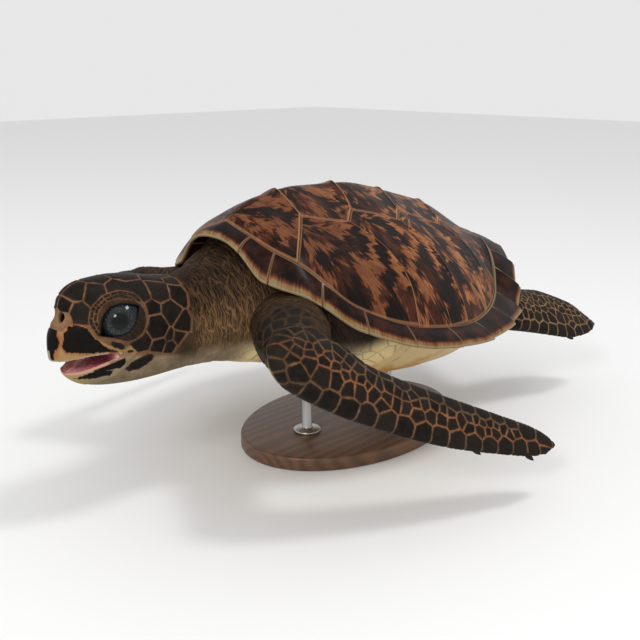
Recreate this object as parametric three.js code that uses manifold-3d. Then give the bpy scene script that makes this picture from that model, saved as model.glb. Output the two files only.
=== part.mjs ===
// A life-size young hawksbill sea turtle, swimming, on a plain display stand.
// Millimetres, +Z up. The turtle looks along -Y and its left side is +X.
// The origin is the centre of the underside of the stand's base.
import * as THREE from "three";
import { mergeVertices } from "three/addons/utils/BufferGeometryUtils.js";
import Module from "manifold-3d";

const wasm = await Module();
wasm.setup();

// ---------------------------------------------------------------- sizes
const SHELL = 450; // straight length of the carapace, mm
const RIM_HEIGHT = 152; // height of the carapace rim at its widest, above the floor, mm
const FORWARD_SHIFT = 18; // middle of the carapace behind the middle of the base, mm
const GAP = 0.3; // clearance between pieces that touch, mm
// From here on, lengths are in shell lengths unless a name ends in _MM.
const GAP_L = GAP / SHELL;

const SHELL_WIDTH = 0.79;
const WIDTH_FRONT_POWER = 0.412; // how blunt the front of the rim is, seen from above
const WIDTH_REAR_POWER = 0.463; // the same for the rear
const PLATE_THICKNESS = 0.013; // vertical thickness of the carapace plates
const PLATE_LIFT = 0.005; // how far the rear edge of a plate stands over the next one
const RIM_EDGE = 0.008; // thickness of the free outer edge of the marginal plates
const UNDER_RIM = 0.006; // the underside of the marginals lies this far below the rim line
const PLASTRON_THICKNESS = 0.012;
const DOME_POWER = 1.02;
const DOME_FULLNESS = 0.53;
const DOME_FOOT = 0.975; // keeps the slope at the dome's foot finite
const KEEL_ROUNDING = 0.03;
const BOWL_POWER = 3.8;

// ---------------------------------------------------------------- curves
// A smooth curve through [t, value] pairs that never swings past them.
function through(pairs) {
  const n = pairs.length;
  const slope = [];
  for (let i = 0; i < n - 1; i++) {
    slope.push((pairs[i + 1][1] - pairs[i][1]) / (pairs[i + 1][0] - pairs[i][0]));
  }
  const tangent = [slope[0]];
  for (let i = 1; i < n - 1; i++) {
    const flat = slope[i - 1] * slope[i] <= 0;
    tangent.push(flat ? 0 : (2 * slope[i - 1] * slope[i]) / (slope[i - 1] + slope[i]));
  }
  tangent.push(slope[n - 2]);
  return (t) => {
    const clamped = Math.min(Math.max(t, pairs[0][0]), pairs[n - 1][0]);
    let i = 0;
    while (i < n - 2 && clamped > pairs[i + 1][0]) i++;
    const step = pairs[i + 1][0] - pairs[i][0];
    const a = (clamped - pairs[i][0]) / step;
    const b = 1 - a;
    const ends = b * b * (1 + 2 * a) * pairs[i][1] + a * a * (3 - 2 * a) * pairs[i + 1][1];
    return ends + step * a * b * (b * tangent[i] - a * tangent[i + 1]);
  };
}

function smoothStep(t) {
  const c = Math.min(Math.max(t, 0), 1);
  return c * c * (3 - 2 * c);
}

// ---------------------------------------------------------------- shell surface
// Stations run along the shell from 0 at the nuchal edge to 1 over the tail.
const rimHeight = through([
  [0, 0.256], [0.02, 0.174], [0.07, 0.143], [0.16, 0.067], [0.35, 0.001], [0.6, -0.024],
  [0.8, -0.018], [1, 0.124],
]);
const crestHeight = through([
  [0, 0.256], [0.12, 0.324], [0.25, 0.342], [0.42, 0.337], [0.6, 0.297], [0.78, 0.2415],
  [0.92, 0.158], [1, 0.124],
]);
const keelHeight = through([
  [0, -0.03], [0.1, -0.052], [0.2, -0.09], [0.35, -0.124], [0.6, -0.133], [0.8, -0.105],
  [0.93, -0.028], [1, 0.05],
]);
// Width of the marginal band, and its rise from the rim, by the share of the rim's length.
const bandWidth = through([
  [0, 0.046], [0.06, 0.044], [0.12, 0.040], [0.21, 0.040], [0.37, 0.050], [0.55, 0.060],
  [0.66, 0.068], [0.76, 0.075], [0.91, 0.08], [1, 0.075],
]);
// The dome's own foot line. It runs under the marginals at the front and over the tail.
const domeInset = through([
  [0, 0.01], [0.06, 0.018], [0.12, 0.027], [0.2, 0.038], [0.26, 0.042], [0.37, 0.05],
  [0.55, 0.06], [0.66, 0.068], [0.76, 0.072], [0.85, 0.05], [0.93, 0.026], [1, 0.014],
]);
const bandRise = through([
  [0, 0.034], [0.06, 0.054], [0.11, 0.064], [0.2, 0.045], [0.36, 0.038], [0.55, 0.034],
  [0.65, 0.040], [0.735, 0.052], [0.85, 0.055], [0.91, 0.045], [1, 0.034],
]);

function rimHalfWidth(s) {
  const peak = WIDTH_FRONT_POWER / (WIDTH_FRONT_POWER + WIDTH_REAR_POWER);
  const shape = (t) => t ** WIDTH_FRONT_POWER * (1 - t) ** WIDTH_REAR_POWER;
  return ((SHELL_WIDTH / 2) * shape(s)) / shape(peak);
}

// The rim is followed by the share u of its length, from the nuchal edge to the tail.
const RIM_SAMPLES = 800;
const rimTable = [{ x: 0, s: 0, length: 0 }];
for (let i = 1; i <= RIM_SAMPLES; i++) {
  const s = (1 - Math.cos((Math.PI * i) / RIM_SAMPLES)) / 2;
  const x = rimHalfWidth(s);
  const last = rimTable[i - 1];
  rimTable.push({ x, s, length: last.length + Math.hypot(x - last.x, s - last.s) });
}
const RIM_LENGTH = rimTable[RIM_SAMPLES].length;

function rimAt(u) {
  const wanted = Math.min(Math.max(u, 0), 1) * RIM_LENGTH;
  let low = 0;
  let high = RIM_SAMPLES;
  while (high - low > 1) {
    const middle = (low + high) >> 1;
    if (rimTable[middle].length <= wanted) low = middle;
    else high = middle;
  }
  const from = rimTable[low];
  const to = rimTable[high];
  const share = (wanted - from.length) / (to.length - from.length);
  return { x: from.x + share * (to.x - from.x), s: from.s + share * (to.s - from.s) };
}

// A point at a distance inwards from the rim, in plan. The ends stay on the midline.
const NORMAL_STEP = 0.01;
function insideRim(u, distance) {
  const here = rimAt(u);
  const before = rimAt(Math.max(u - NORMAL_STEP, 0));
  const after = rimAt(Math.min(u + NORMAL_STEP, 1));
  if (u < 1e-9) return [0, distance];
  if (u > 1 - 1e-9) return [0, 1 - distance];
  const length = Math.hypot(after.x - before.x, after.s - before.s);
  const x = here.x - ((after.s - before.s) / length) * distance;
  const s = here.s + ((after.x - before.x) / length) * distance;
  return [Math.max(x, 0), s];
}

function marginPoint(u, outwards = 0) {
  return insideRim(u, bandWidth(u) - outwards);
}

// The foot line of the dome, as half-width and heights by station.
const FOOT_SAMPLES = 200;
const footTable = [];
for (let i = 0; i <= FOOT_SAMPLES; i++) {
  const u = i / FOOT_SAMPLES;
  const [x, s] = insideRim(u, domeInset(u));
  const rim = rimHeight(rimAt(u).s);
  const top = rim + (bandRise(u) * domeInset(u)) / bandWidth(u);
  const station = i === 0 ? s : Math.max(s, footTable[i - 1].s + 1e-5);
  footTable.push({ x, s: station, top, under: rim - UNDER_RIM });
}

function footAtStation(s) {
  const last = footTable.length - 1;
  const clamped = Math.min(Math.max(s, footTable[0].s), footTable[last].s);
  let i = 0;
  while (i < last - 1 && clamped > footTable[i + 1].s) i++;
  const from = footTable[i];
  const to = footTable[i + 1];
  const share = (clamped - from.s) / (to.s - from.s);
  const mix = (key) => from[key] + share * (to[key] - from[key]);
  return { x: Math.max(mix("x"), 1e-4), top: mix("top"), under: mix("under") };
}

function domeHeight(x, s) {
  const foot = footAtStation(s);
  const across = Math.min(Math.abs(x) / foot.x, 1);
  const softened = Math.hypot(across, KEEL_ROUNDING) - KEEL_ROUNDING;
  const t = Math.min(softened / (Math.hypot(1, KEEL_ROUNDING) - KEEL_ROUNDING), 1);
  const profile = (along) => (1 - (DOME_FOOT * along) ** DOME_POWER) ** DOME_FULLNESS;
  const fullness = (profile(t) - profile(1)) / (1 - profile(1));
  return foot.top + Math.max(crestHeight(s) - foot.top, 0) * fullness;
}

function bowlHeight(x, s) {
  const foot = footAtStation(s);
  const across = Math.min(Math.abs(x) / foot.x, 1);
  const fullness = 1 - across ** BOWL_POWER;
  return foot.under + (keelHeight(s) - foot.under) * fullness;
}

// ---------------------------------------------------------------- mesh helpers
// Vertices are collected in shell lengths and turned into millimetres here.
function toFrame(x, y, z) {
  return [x * SHELL, y * SHELL + FORWARD_SHIFT, z * SHELL + RIM_HEIGHT];
}

function closedGeometry(vertices, triangles) {
  const geometry = new THREE.BufferGeometry();
  const positions = vertices.flatMap(([x, y, z]) => toFrame(x, y, z));
  geometry.setAttribute("position", new THREE.Float32BufferAttribute(positions, 3));
  geometry.setIndex(triangles.flat());
  return mergeVertices(geometry, 1e-4);
}

// A slab over a closed plan outline, from rings that shrink towards a centre.
// The outline runs anticlockwise seen from above, as [x, station] pairs.
function slab(outline, centre, topRings, underRings, top, under) {
  const n = outline.length;
  const vertices = [];
  const triangles = [];
  const at = (share, i) => {
    const [x, s] = outline[i];
    return [centre[0] + share * (x - centre[0]), centre[1] + share * (s - centre[1])];
  };
  const layer = (rings, height, upwards) => {
    const middle = vertices.length;
    vertices.push([centre[0], centre[1] - 0.5, height(centre[0], centre[1], 0, 0)]);
    for (const share of rings) {
      for (let i = 0; i < n; i++) {
        const [x, s] = at(share, i);
        vertices.push([x, s - 0.5, height(x, s, share, i)]);
      }
    }
    const add = (a, b, c) => triangles.push(upwards ? [a, b, c] : [a, c, b]);
    const addQuad = (a, b, c, d, flip) => {
      // The diagonals mirror each other across the midline.
      add(a, b, flip ? d : c);
      add(flip ? b : a, c, d);
    };
    for (let i = 0; i < n; i++) {
      const j = (i + 1) % n;
      add(middle, middle + 1 + i, middle + 1 + j);
      for (let k = 0; k < rings.length - 1; k++) {
        const inner = middle + 1 + k * n;
        const outer = inner + n;
        addQuad(inner + i, outer + i, outer + j, inner + j, outline[i][0] + outline[j][0] < 0);
      }
    }
    return middle + 1 + (rings.length - 1) * n;
  };
  const topEdge = layer(topRings, top, true);
  const underEdge = layer(underRings, under, false);
  for (let i = 0; i < n; i++) {
    const j = (i + 1) % n;
    triangles.push([topEdge + i, underEdge + i, underEdge + j]);
    triangles.push([topEdge + i, underEdge + j, topEdge + j]);
  }
  return closedGeometry(vertices, triangles);
}

// A solid through rings of points with the same count, closed by a fan at each end.
function loft(rings) {
  const n = rings[0].length;
  const vertices = rings.flat();
  const triangles = [];
  for (let k = 0; k < rings.length - 1; k++) {
    for (let i = 0; i < n; i++) {
      const j = (i + 1) % n;
      const a = k * n + i;
      const b = k * n + j;
      const flip = vertices[a][0] + vertices[b][0] < -1e-6;
      triangles.push([a, b, flip ? a + n : b + n]);
      triangles.push([flip ? b : a, b + n, a + n]);
    }
  }
  const average = (ring) => [0, 1, 2].map((axis) => ring.reduce((sum, p) => sum + p[axis], 0) / n);
  const first = vertices.length;
  vertices.push(average(rings[0]), average(rings[rings.length - 1]));
  const lastRing = (rings.length - 1) * n;
  for (let i = 0; i < n; i++) {
    const j = (i + 1) % n;
    triangles.push([first, j, i]);
    triangles.push([first + 1, lastRing + i, lastRing + j]);
  }
  return closedGeometry(vertices, triangles);
}

// One ring: a superellipse about a centre, with its own reach along side, up and down.
function ring(centre, side, up, reach, power, count) {
  const points = [];
  for (let i = 0; i < count; i++) {
    const angle = (2 * Math.PI * i) / count;
    const c = Math.cos(angle);
    const s = Math.sin(angle);
    const across = Math.sign(c) * Math.abs(c) ** (2 / power) * reach.side;
    const rise = Math.sign(s) * Math.abs(s) ** (2 / power) * (s > 0 ? reach.up : reach.down);
    points.push([0, 1, 2].map((axis) => centre[axis] + side[axis] * across + up[axis] * rise));
  }
  return points;
}

function mirrored(geometry) {
  const copy = geometry.clone();
  copy.scale(-1, 1, 1);
  const index = Array.from(copy.getIndex().array);
  for (let i = 0; i < index.length; i += 3) {
    [index[i + 1], index[i + 2]] = [index[i + 2], index[i + 1]];
  }
  copy.setIndex(index);
  return copy;
}

// ---------------------------------------------------------------- join and cut
function toSolid(source) {
  let geometry = source.clone();
  geometry.deleteAttribute("normal");
  geometry.deleteAttribute("uv");
  geometry = mergeVertices(geometry, 1e-4);
  const vertProperties = new Float32Array(geometry.getAttribute("position").array);
  const triVerts = new Uint32Array(geometry.getIndex().array);
  return new wasm.Manifold(new wasm.Mesh({ numProp: 3, vertProperties, triVerts }));
}

function toGeometry(solid) {
  const mesh = solid.getMesh();
  const geometry = new THREE.BufferGeometry();
  geometry.setAttribute("position", new THREE.Float32BufferAttribute(mesh.vertProperties, 3));
  geometry.setIndex(Array.from(mesh.triVerts));
  return geometry;
}

function joined(solids) {
  return solids.reduce((sum, solid) => sum.add(solid));
}

// A thin rectangular cut, given in shell lengths: its centre, normal, and half-extents.
function cutSlab(centre, normal, halfAcross, halfUp) {
  const box = new THREE.BoxGeometry(2 * halfAcross * SHELL, 2 * halfUp * SHELL, GAP);
  const turn = new THREE.Matrix4();
  turn.lookAt(new THREE.Vector3(...normal), new THREE.Vector3(0, 0, 0), new THREE.Vector3(0, 0, 1));
  box.applyMatrix4(turn);
  box.translate(...toFrame(...centre));
  return toSolid(box);
}

// ---------------------------------------------------------------- plates of the dome
// Where the seams meet: [x, station], left side.
const V1_REAR = [0, 0.2];
const V2_REAR = [0, 0.392];
const V3_REAR = [0, 0.572];
const V4_REAR = [0, 0.742];
const V1_CORNER = [0.095, 0.188];
const V2_CORNER = [0.133, 0.309];
const V2_REAR_CORNER = [0.1, 0.354];
const V3_CORNER = [0.136, 0.487];
const V3_REAR_CORNER = [0.095, 0.537];
const V4_CORNER = [0.117, 0.684];
const V4_REAR_CORNER = [0.09, 0.714];
// Where the seams reach the margin, as shares of the rim's length.
const C1_FRONT = 0.155;
const C2_FRONT = 0.385;
const C3_FRONT = 0.53;
const C4_FRONT = 0.672;
const V5_FRONT = 0.91;
// Seams between the marginal plates, as shares of the rim's length.
const MARGINAL_SEAMS = [
  0.06, 0.112, 0.198, 0.27, 0.355, 0.458, 0.552, 0.655, 0.735, 0.8, 0.855, 0.91, 1,
];
const MARGIN_STEP = 0.045;

const marginBreaks = [0, ...MARGINAL_SEAMS, C1_FRONT, C2_FRONT, C3_FRONT, C4_FRONT];
marginBreaks.sort((a, b) => a - b);
const marginStops = [0];
for (let i = 1; i < marginBreaks.length; i++) {
  const from = marginBreaks[i - 1];
  const length = marginBreaks[i] - from;
  const parts = Math.max(Math.ceil(length / MARGIN_STEP), 1);
  for (let k = 1; k <= parts; k++) {
    if (length > 1e-6) marginStops.push(from + (length * k) / parts);
  }
}

function marginStopsBetween(from, to) {
  return marginStops.filter((u) => u > from - 1e-6 && u < to + 1e-6);
}

function seam(points, segments) {
  const curve = new THREE.SplineCurve(points.map(([x, s]) => new THREE.Vector2(x, s)));
  return curve.getPoints(segments).map((p) => [p.x, p.y]);
}

const C1_FOOT = marginPoint(C1_FRONT);
const C2_FOOT = marginPoint(C2_FRONT);
const C3_FOOT = marginPoint(C3_FRONT);
const C4_FOOT = marginPoint(C4_FRONT);
const V5_FOOT = marginPoint(V5_FRONT);
const seams = {
  v1v2: seam([V1_CORNER, [0.049, 0.195], V1_REAR], 3),
  v2v3: seam([V2_REAR_CORNER, [0.059, 0.376], V2_REAR], 3),
  v3v4: seam([V3_REAR_CORNER, [0.049, 0.553], V3_REAR], 3),
  v4v5: seam([V4_REAR_CORNER, [0.046, 0.734], V4_REAR], 3),
  v1c1: seam([C1_FOOT, [0.142, 0.14], V1_CORNER], 3),
  v2c1: seam([V1_CORNER, [0.118, 0.244], V2_CORNER], 3),
  v2c2: [V2_CORNER, V2_REAR_CORNER],
  v3c2: seam([V2_REAR_CORNER, [0.118, 0.42], V3_CORNER], 3),
  v3c3: [V3_CORNER, V3_REAR_CORNER],
  v4c3: seam([V3_REAR_CORNER, [0.104, 0.613], V4_CORNER], 3),
  v4c4: [V4_CORNER, V4_REAR_CORNER],
  v5c4: seam([V4_REAR_CORNER, [0.1, 0.8], V5_FOOT], 3),
  c1c2: seam([V2_CORNER, [0.204, 0.355], [0.274, 0.364], C2_FOOT], 5),
  c2c3: seam([V3_CORNER, [0.185, 0.534], [0.271, 0.541], C3_FOOT], 5),
  c3c4: seam([V4_CORNER, [0.165, 0.733], [0.232, 0.732], C4_FOOT], 5),
};

function margin(from, to) {
  return marginStopsBetween(from, to).map((u) => marginPoint(u));
}

// Joins runs of points end to end and drops the point each run shares with the next.
function outlineOf(...runs) {
  const points = [];
  for (const run of runs) points.push(...run.slice(0, -1));
  return points;
}

function back(name) {
  return [...seams[name]].reverse();
}

// A plate on the midline: its left half, from the front to the rear, and the mirror of that.
function wholeOutline(...leftRuns) {
  const left = outlineOf(...leftRuns);
  const rear = leftRuns[leftRuns.length - 1].slice(-1);
  const right = left.slice(1).reverse().map(([x, s]) => [-x, s]);
  return [...left, ...rear, ...right];
}

const vertebrals = [
  { centre: [0, 0.13], outline: wholeOutline(margin(0, C1_FRONT), seams.v1c1, seams.v1v2) },
  { centre: [0, 0.29], outline: wholeOutline(back("v1v2"), seams.v2c1, seams.v2c2, seams.v2v3) },
  { centre: [0, 0.475], outline: wholeOutline(back("v2v3"), seams.v3c2, seams.v3c3, seams.v3v4) },
  { centre: [0, 0.65], outline: wholeOutline(back("v3v4"), seams.v4c3, seams.v4c4, seams.v4v5) },
  { centre: [0, 0.83], outline: wholeOutline(back("v4v5"), seams.v5c4, margin(V5_FRONT, 1)) },
];
const costals = [
  {
    centre: [0.21, 0.235],
    outline: outlineOf(margin(C1_FRONT, C2_FRONT), back("c1c2"), back("v2c1"), back("v1c1")),
  },
  {
    centre: [0.225, 0.44],
    outline: outlineOf(margin(C2_FRONT, C3_FRONT), back("c2c3"), back("v3c2"), back("v2c2"), seams.c1c2),
  },
  {
    centre: [0.215, 0.63],
    outline: outlineOf(margin(C3_FRONT, C4_FRONT), back("c3c4"), back("v4c3"), back("v3c3"), seams.c2c3),
  },
  {
    centre: [0.165, 0.79],
    outline: outlineOf(margin(C4_FRONT, V5_FRONT), back("v5c4"), back("v4c4"), seams.c3c4),
  },
];

// Moves every edge of a closed outline inwards by the same distance.
function inset(outline, distance) {
  const n = outline.length;
  return outline.map(([x, s], i) => {
    const [ax, as] = outline[(i + n - 1) % n];
    const [bx, bs] = outline[(i + 1) % n];
    const before = new THREE.Vector2(x - ax, s - as).normalize();
    const after = new THREE.Vector2(bx - x, bs - s).normalize();
    const middle = new THREE.Vector2(-before.y - after.y, before.x + after.x).normalize();
    const spread = Math.max(middle.x * -after.y + middle.y * after.x, 0.4);
    return [x + (middle.x * distance) / spread, s + (middle.y * distance) / spread];
  });
}

const PLATE_RINGS = [0.35, 0.7, 1];
const PLATE_UNDER_RINGS = [0.6, 1];

// One plate. Its rear stands over the plate behind it. grow makes the cut that receives it.
function domePlate({ centre, outline }, grow) {
  const edge = inset(outline, GAP_L / 2 - grow);
  const rearReach = Math.max(...outline.map(([, s]) => s)) - centre[1];
  const lift = (s, share) => {
    const rearward = smoothStep((s - centre[1]) / rearReach);
    return PLATE_LIFT * rearward * share * share;
  };
  const top = (x, s, share) => domeHeight(x, s) + lift(s, share) + grow;
  const under = (x, s) => domeHeight(x, s) - PLATE_THICKNESS - 3 * grow;
  return slab(edge, centre, PLATE_RINGS, PLATE_UNDER_RINGS, top, under);
}

// ---------------------------------------------------------------- marginal plates
// How far the rear outer corner of each marginal stands out past the front corner of the next.
const MARGINAL_TEETH = [
  0.002, 0.002, 0.002, 0.003, 0.003, 0.005, 0.009, 0.013, 0.014, 0.013, 0.012, 0.01,
];
const TOOTH_SHIFT = 0.7;
const TOOTH_POWER = 1.5;

// The plate from the share from to the share to of the rim. Each cross-section is a wedge.
function marginalPlate(from, to, tooth, grow, bothSides = false) {
  const stops = marginStopsBetween(from, to);
  const sections = stops.map((u, i) => {
    const along = (u - from) / (to - from);
    const isStart = i === 0 && !bothSides;
    const isEnd = i === stops.length - 1 && to < 1;
    const slip = (isStart ? 1 : 0) - (isEnd ? 1 : 0);
    const shift = slip * (GAP_L / 2 - grow);
    const nudged = u + shift / RIM_LENGTH;
    const out = tooth * (along ** TOOTH_POWER - TOOTH_SHIFT);
    const [ox, os] = insideRim(nudged, -out - grow);
    const [ix, is] = marginPoint(nudged, GAP_L - grow);
    const rim = rimHeight(rimAt(nudged).s);
    const step = (GAP_L / 2) * (from > 0 ? 1 : 0);
    return [
      [ox, os - 0.5, rim + RIM_EDGE / 2 + grow],
      [ix, is - 0.5, domeHeight(ix, is) + grow],
      [ix, is - 0.5, Math.min(rim, domeHeight(ix, is) - PLATE_THICKNESS) - UNDER_RIM - grow],
      [ox, os - 0.5, rim - RIM_EDGE / 2 - grow],
    ].map(([x, y, z]) => [u > 1 - 1e-9 ? step - (grow > 0 ? grow : 0) : x, y, z]);
  });
  if (!bothSides) return loft(sections.map((section) => [...section].reverse()));
  const other = sections.slice(1).map((section) => section.map(([x, y, z]) => [-x, y, z]));
  return loft([...other.reverse(), ...sections].map((section) => [...section].reverse()));
}

// ---------------------------------------------------------------- plastron
const PLASTRON_CENTRE = [0, 0.45];
const BRIDGE_FRONT = 0.355;
const BRIDGE_REAR = 0.62;
const plastronLobeFront = seam([[0, 0.05], [0.075, 0.06], [0.13, 0.12], [0.17, 0.2], [0.24, 0.27]], 8);
const plastronLobeRear = seam([[0.235, 0.69], [0.165, 0.72], [0.13, 0.79], [0.06, 0.86], [0, 0.85]], 8);
const bridgeEdge = marginStopsBetween(BRIDGE_FRONT, BRIDGE_REAR).map((u) => marginPoint(u, -4 * GAP_L));
const plastronOutline = (() => {
  const left = [...plastronLobeFront, ...bridgeEdge, ...plastronLobeRear];
  const right = left.slice(1, -1).reverse().map(([x, s]) => [-x, s]);
  return [...left, ...right];
})();

function plastronSlab(grow) {
  const edge = inset(plastronOutline, -2 * grow);
  const top = (x, s) => bowlHeight(x, s) + PLASTRON_THICKNESS + 4 * grow;
  const under = (x, s) => bowlHeight(x, s) - grow;
  return slab(edge, PLASTRON_CENTRE, [0.6, 1], [0.4, 0.75, 1], top, under);
}

// ---------------------------------------------------------------- flesh
const RING_POINTS = 18;
const LIMB_POINTS = 12;
const ROUND = 2;
const X_AXIS = [1, 0, 0];
const Z_AXIS = [0, 0, 1];

// How far the top of the core lies under the body's back, inside and at the margin.
const CORE_DEPTH = 0.018;
const CORE_EDGE_DEPTH = 0.005;
// The body inside the shell: a core, and a column up to the underside of each plate.
// The facets of a column match those of its plate. grow makes the room cut from the limbs.
function trunkSolid(grow) {
  const left = marginStops.map((u) => marginPoint(u));
  const right = left.slice(1, -1).reverse().map(([x, s]) => [-x, s]);
  const outline = inset([...left, ...right], -grow);
  const under = (x, s) => bowlHeight(x, s) + PLASTRON_THICKNESS / 2 - 7 * grow;
  const layered = (topRings, underRings, top, bottom) =>
    toSolid(slab(outline, PLASTRON_CENTRE, topRings, underRings, top, bottom));
  if (grow > 0) {
    const lid = (x, s) => domeHeight(x, s) + 3 * grow;
    return layered([0.3, 0.6, 0.85, 1], [0.55, 0.85, 1], lid, under);
  }
  const backHeight = (x, s) => domeHeight(x, s) - PLATE_THICKNESS - 2 * GAP_L;
  const coreTop = (x, s, share) => backHeight(x, s) - (share < 1 ? CORE_DEPTH : CORE_EDGE_DEPTH);
  const columnFoot = (x, s) => (backHeight(x, s) - CORE_EDGE_DEPTH + under(x, s)) / 2;
  const column = ({ centre, outline: edge }) =>
    slab(edge, centre, PLATE_UNDER_RINGS, [0.6, 1], backHeight, columnFoot);
  const sides = costals.map(column);
  const columns = [...vertebrals.map(column), ...sides, ...sides.map(mirrored)].map(toSolid);
  return joined([layered([0.5, 0.85, 1], [0.55, 0.85, 1], coreTop, under), ...columns]);
}

// Head and neck are lofts along Y. Each profile is by y, in front of the shell's middle.
const headHalf = through([
  [-0.912, 0.005], [-0.904, 0.018], [-0.89, 0.03], [-0.87, 0.042], [-0.84, 0.056],
  [-0.81, 0.07], [-0.78, 0.082], [-0.74, 0.093], [-0.7, 0.097], [-0.66, 0.092], [-0.62, 0.09],
  [-0.56, 0.102], [-0.5, 0.128], [-0.44, 0.15], [-0.34, 0.15],
]);
const headTop = through([
  [-0.912, 0.108], [-0.905, 0.131], [-0.894, 0.16], [-0.88, 0.186], [-0.86, 0.204], [-0.83, 0.212],
  [-0.78, 0.213], [-0.72, 0.207], [-0.66, 0.194], [-0.6, 0.186], [-0.54, 0.199], [-0.48, 0.226],
  [-0.4, 0.24], [-0.34, 0.24],
]);
const headUnder = through([
  [-0.912, 0.058], [-0.902, 0.053], [-0.888, 0.032], [-0.868, 0.01], [-0.84, -0.004], [-0.8, -0.013],
  [-0.74, -0.018], [-0.66, -0.019], [-0.58, -0.02], [-0.5, -0.03], [-0.42, -0.05], [-0.34, -0.05],
]);
const WIDEST_SHARE = 0.42; // height of the widest line of the head and neck, as a share
const HEAD_SQUARENESS = 2.25; // 2 gives round sections, more gives squarer ones
const HEAD_STOPS = [
  -0.912, -0.906, -0.897, -0.885, -0.87, -0.85, -0.825, -0.8, -0.77, -0.74, -0.7, -0.66, -0.62,
  -0.58, -0.54, -0.5, -0.44, -0.34,
];

function headAndNeck(grow) {
  const rings = HEAD_STOPS.map((y) => {
    const top = headTop(y);
    const under = headUnder(y);
    const middle = under + WIDEST_SHARE * (top - under);
    const reach = { side: headHalf(y) + grow, up: top - middle + grow, down: middle - under + grow };
    return ring([0, y, middle], X_AXIS, Z_AXIS, reach, HEAD_SQUARENESS, RING_POINTS);
  });
  return loft(rings.map((points) => [...points].reverse()));
}

// The eyeball is flattened along the line that the eye looks along.
const EYE_CENTRE = [0.0525, -0.777, 0.1306];
const EYE_GAZE = [0.76, -0.58, 0.28];
const EYE_RADIUS = 0.048;
const EYE_HALF_DEPTH = 0.037;
const EYE_SEGMENTS = 12;

function eyeball(grow) {
  const radius = (EYE_RADIUS + grow) * SHELL;
  const geometry = new THREE.SphereGeometry(radius, EYE_SEGMENTS, EYE_SEGMENTS / 2);
  geometry.scale(1, (EYE_HALF_DEPTH + grow) / (EYE_RADIUS + grow), 1);
  const gaze = new THREE.Vector3(...EYE_GAZE).normalize();
  const turn = new THREE.Quaternion().setFromUnitVectors(new THREE.Vector3(0, 1, 0), gaze);
  geometry.applyQuaternion(turn);
  geometry.translate(...toFrame(...EYE_CENTRE));
  return geometry;
}

// The open mouth, then a thin cut behind its corner that parts the lower jaw. Points are [y, z].
const MOUTH_CORNER = [-0.787, 0.0645];
const JAW_HEEL = [-0.7, -0.06];
const mouthOutline = [
  [-0.95, 0.036], [-0.885, 0.034], [-0.85, 0.04], [-0.815, 0.0535], MOUTH_CORNER,
  [-0.82, 0.0685], [-0.86, 0.066], [-0.9, 0.06], [-0.95, 0.058],
];
const jawCutOutline = [
  MOUTH_CORNER, JAW_HEEL, [JAW_HEEL[0] + GAP_L, JAW_HEEL[1]],
  [MOUTH_CORNER[0] + GAP_L, MOUTH_CORNER[1] + GAP_L / 2], [MOUTH_CORNER[0] - 0.012, MOUTH_CORNER[1]],
];

// A cut right across the head, from an outline seen from its side.
const CUT_WIDTH = 0.3;

function acrossHead(outline) {
  const shape = new THREE.Shape(outline.map(([y, z]) => new THREE.Vector2(y * SHELL, z * SHELL)));
  const depth = CUT_WIDTH * SHELL;
  const geometry = new THREE.ExtrudeGeometry(shape, { depth, bevelEnabled: false });
  geometry.translate(0, 0, -depth / 2);
  const axes = new THREE.Matrix4();
  axes.makeBasis(new THREE.Vector3(0, 1, 0), new THREE.Vector3(0, 0, 1), new THREE.Vector3(1, 0, 0));
  geometry.applyMatrix4(axes);
  geometry.translate(...toFrame(0, 0, 0));
  return toSolid(geometry);
}

// A flat limb: an origin, a span direction, a chord direction towards the leading edge,
// and outlines and thickness by distance along the span.
function bladeFrame(root, tip, chordHint) {
  const origin = new THREE.Vector3(...root);
  const span = new THREE.Vector3(...tip).sub(origin).normalize();
  const chord = new THREE.Vector3(...chordHint);
  chord.addScaledVector(span, -chord.dot(span)).normalize();
  const normal = new THREE.Vector3().crossVectors(chord, span);
  return { origin, span, chord, normal };
}

function onBlade(frame, along, across, above = 0) {
  const point = frame.origin.clone();
  point.addScaledVector(frame.span, along);
  point.addScaledVector(frame.chord, across);
  point.addScaledVector(frame.normal, above);
  return point.toArray();
}

function blade(frame, stops, lead, trail, thickness) {
  const rings = stops.map((along) => {
    const middle = (lead(along) + trail(along)) / 2;
    const half = (lead(along) - trail(along)) / 2;
    const reach = { side: half, up: thickness(along) / 2, down: thickness(along) / 2 };
    const centre = onBlade(frame, along, middle);
    return ring(centre, frame.chord.toArray(), frame.normal.toArray(), reach, ROUND, LIMB_POINTS);
  });
  return loft(rings.map((points) => [...points].reverse()));
}

function roundLimb(points) {
  const rings = points.map(({ at, towards, half, tall }) => {
    const along = new THREE.Vector3(...towards).normalize();
    const side = new THREE.Vector3().crossVectors(along, new THREE.Vector3(0, 0, 1)).normalize();
    const up = new THREE.Vector3().crossVectors(side, along);
    const reach = { side: half, up: tall, down: tall };
    return ring(at, side.toArray(), up.toArray(), reach, ROUND, LIMB_POINTS);
  });
  return loft(rings.map((ringPoints) => [...ringPoints].reverse()));
}

// A claw is a short bent cone that grows from the leading edge.
const CLAW_RADIUS = 0.0055;
const CLAW_LENGTH = 0.017;
const CLAW_SEGMENTS = 6;

function claw(frame, along, across) {
  const geometry = new THREE.ConeGeometry(CLAW_RADIUS * SHELL, 2 * CLAW_LENGTH * SHELL, CLAW_SEGMENTS);
  const direction = frame.chord.clone().addScaledVector(frame.span, 0.7).normalize();
  const turn = new THREE.Quaternion().setFromUnitVectors(new THREE.Vector3(0, 1, 0), direction);
  geometry.applyQuaternion(turn);
  geometry.translate(...toFrame(...onBlade(frame, along, across)));
  return toSolid(geometry);
}

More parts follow.
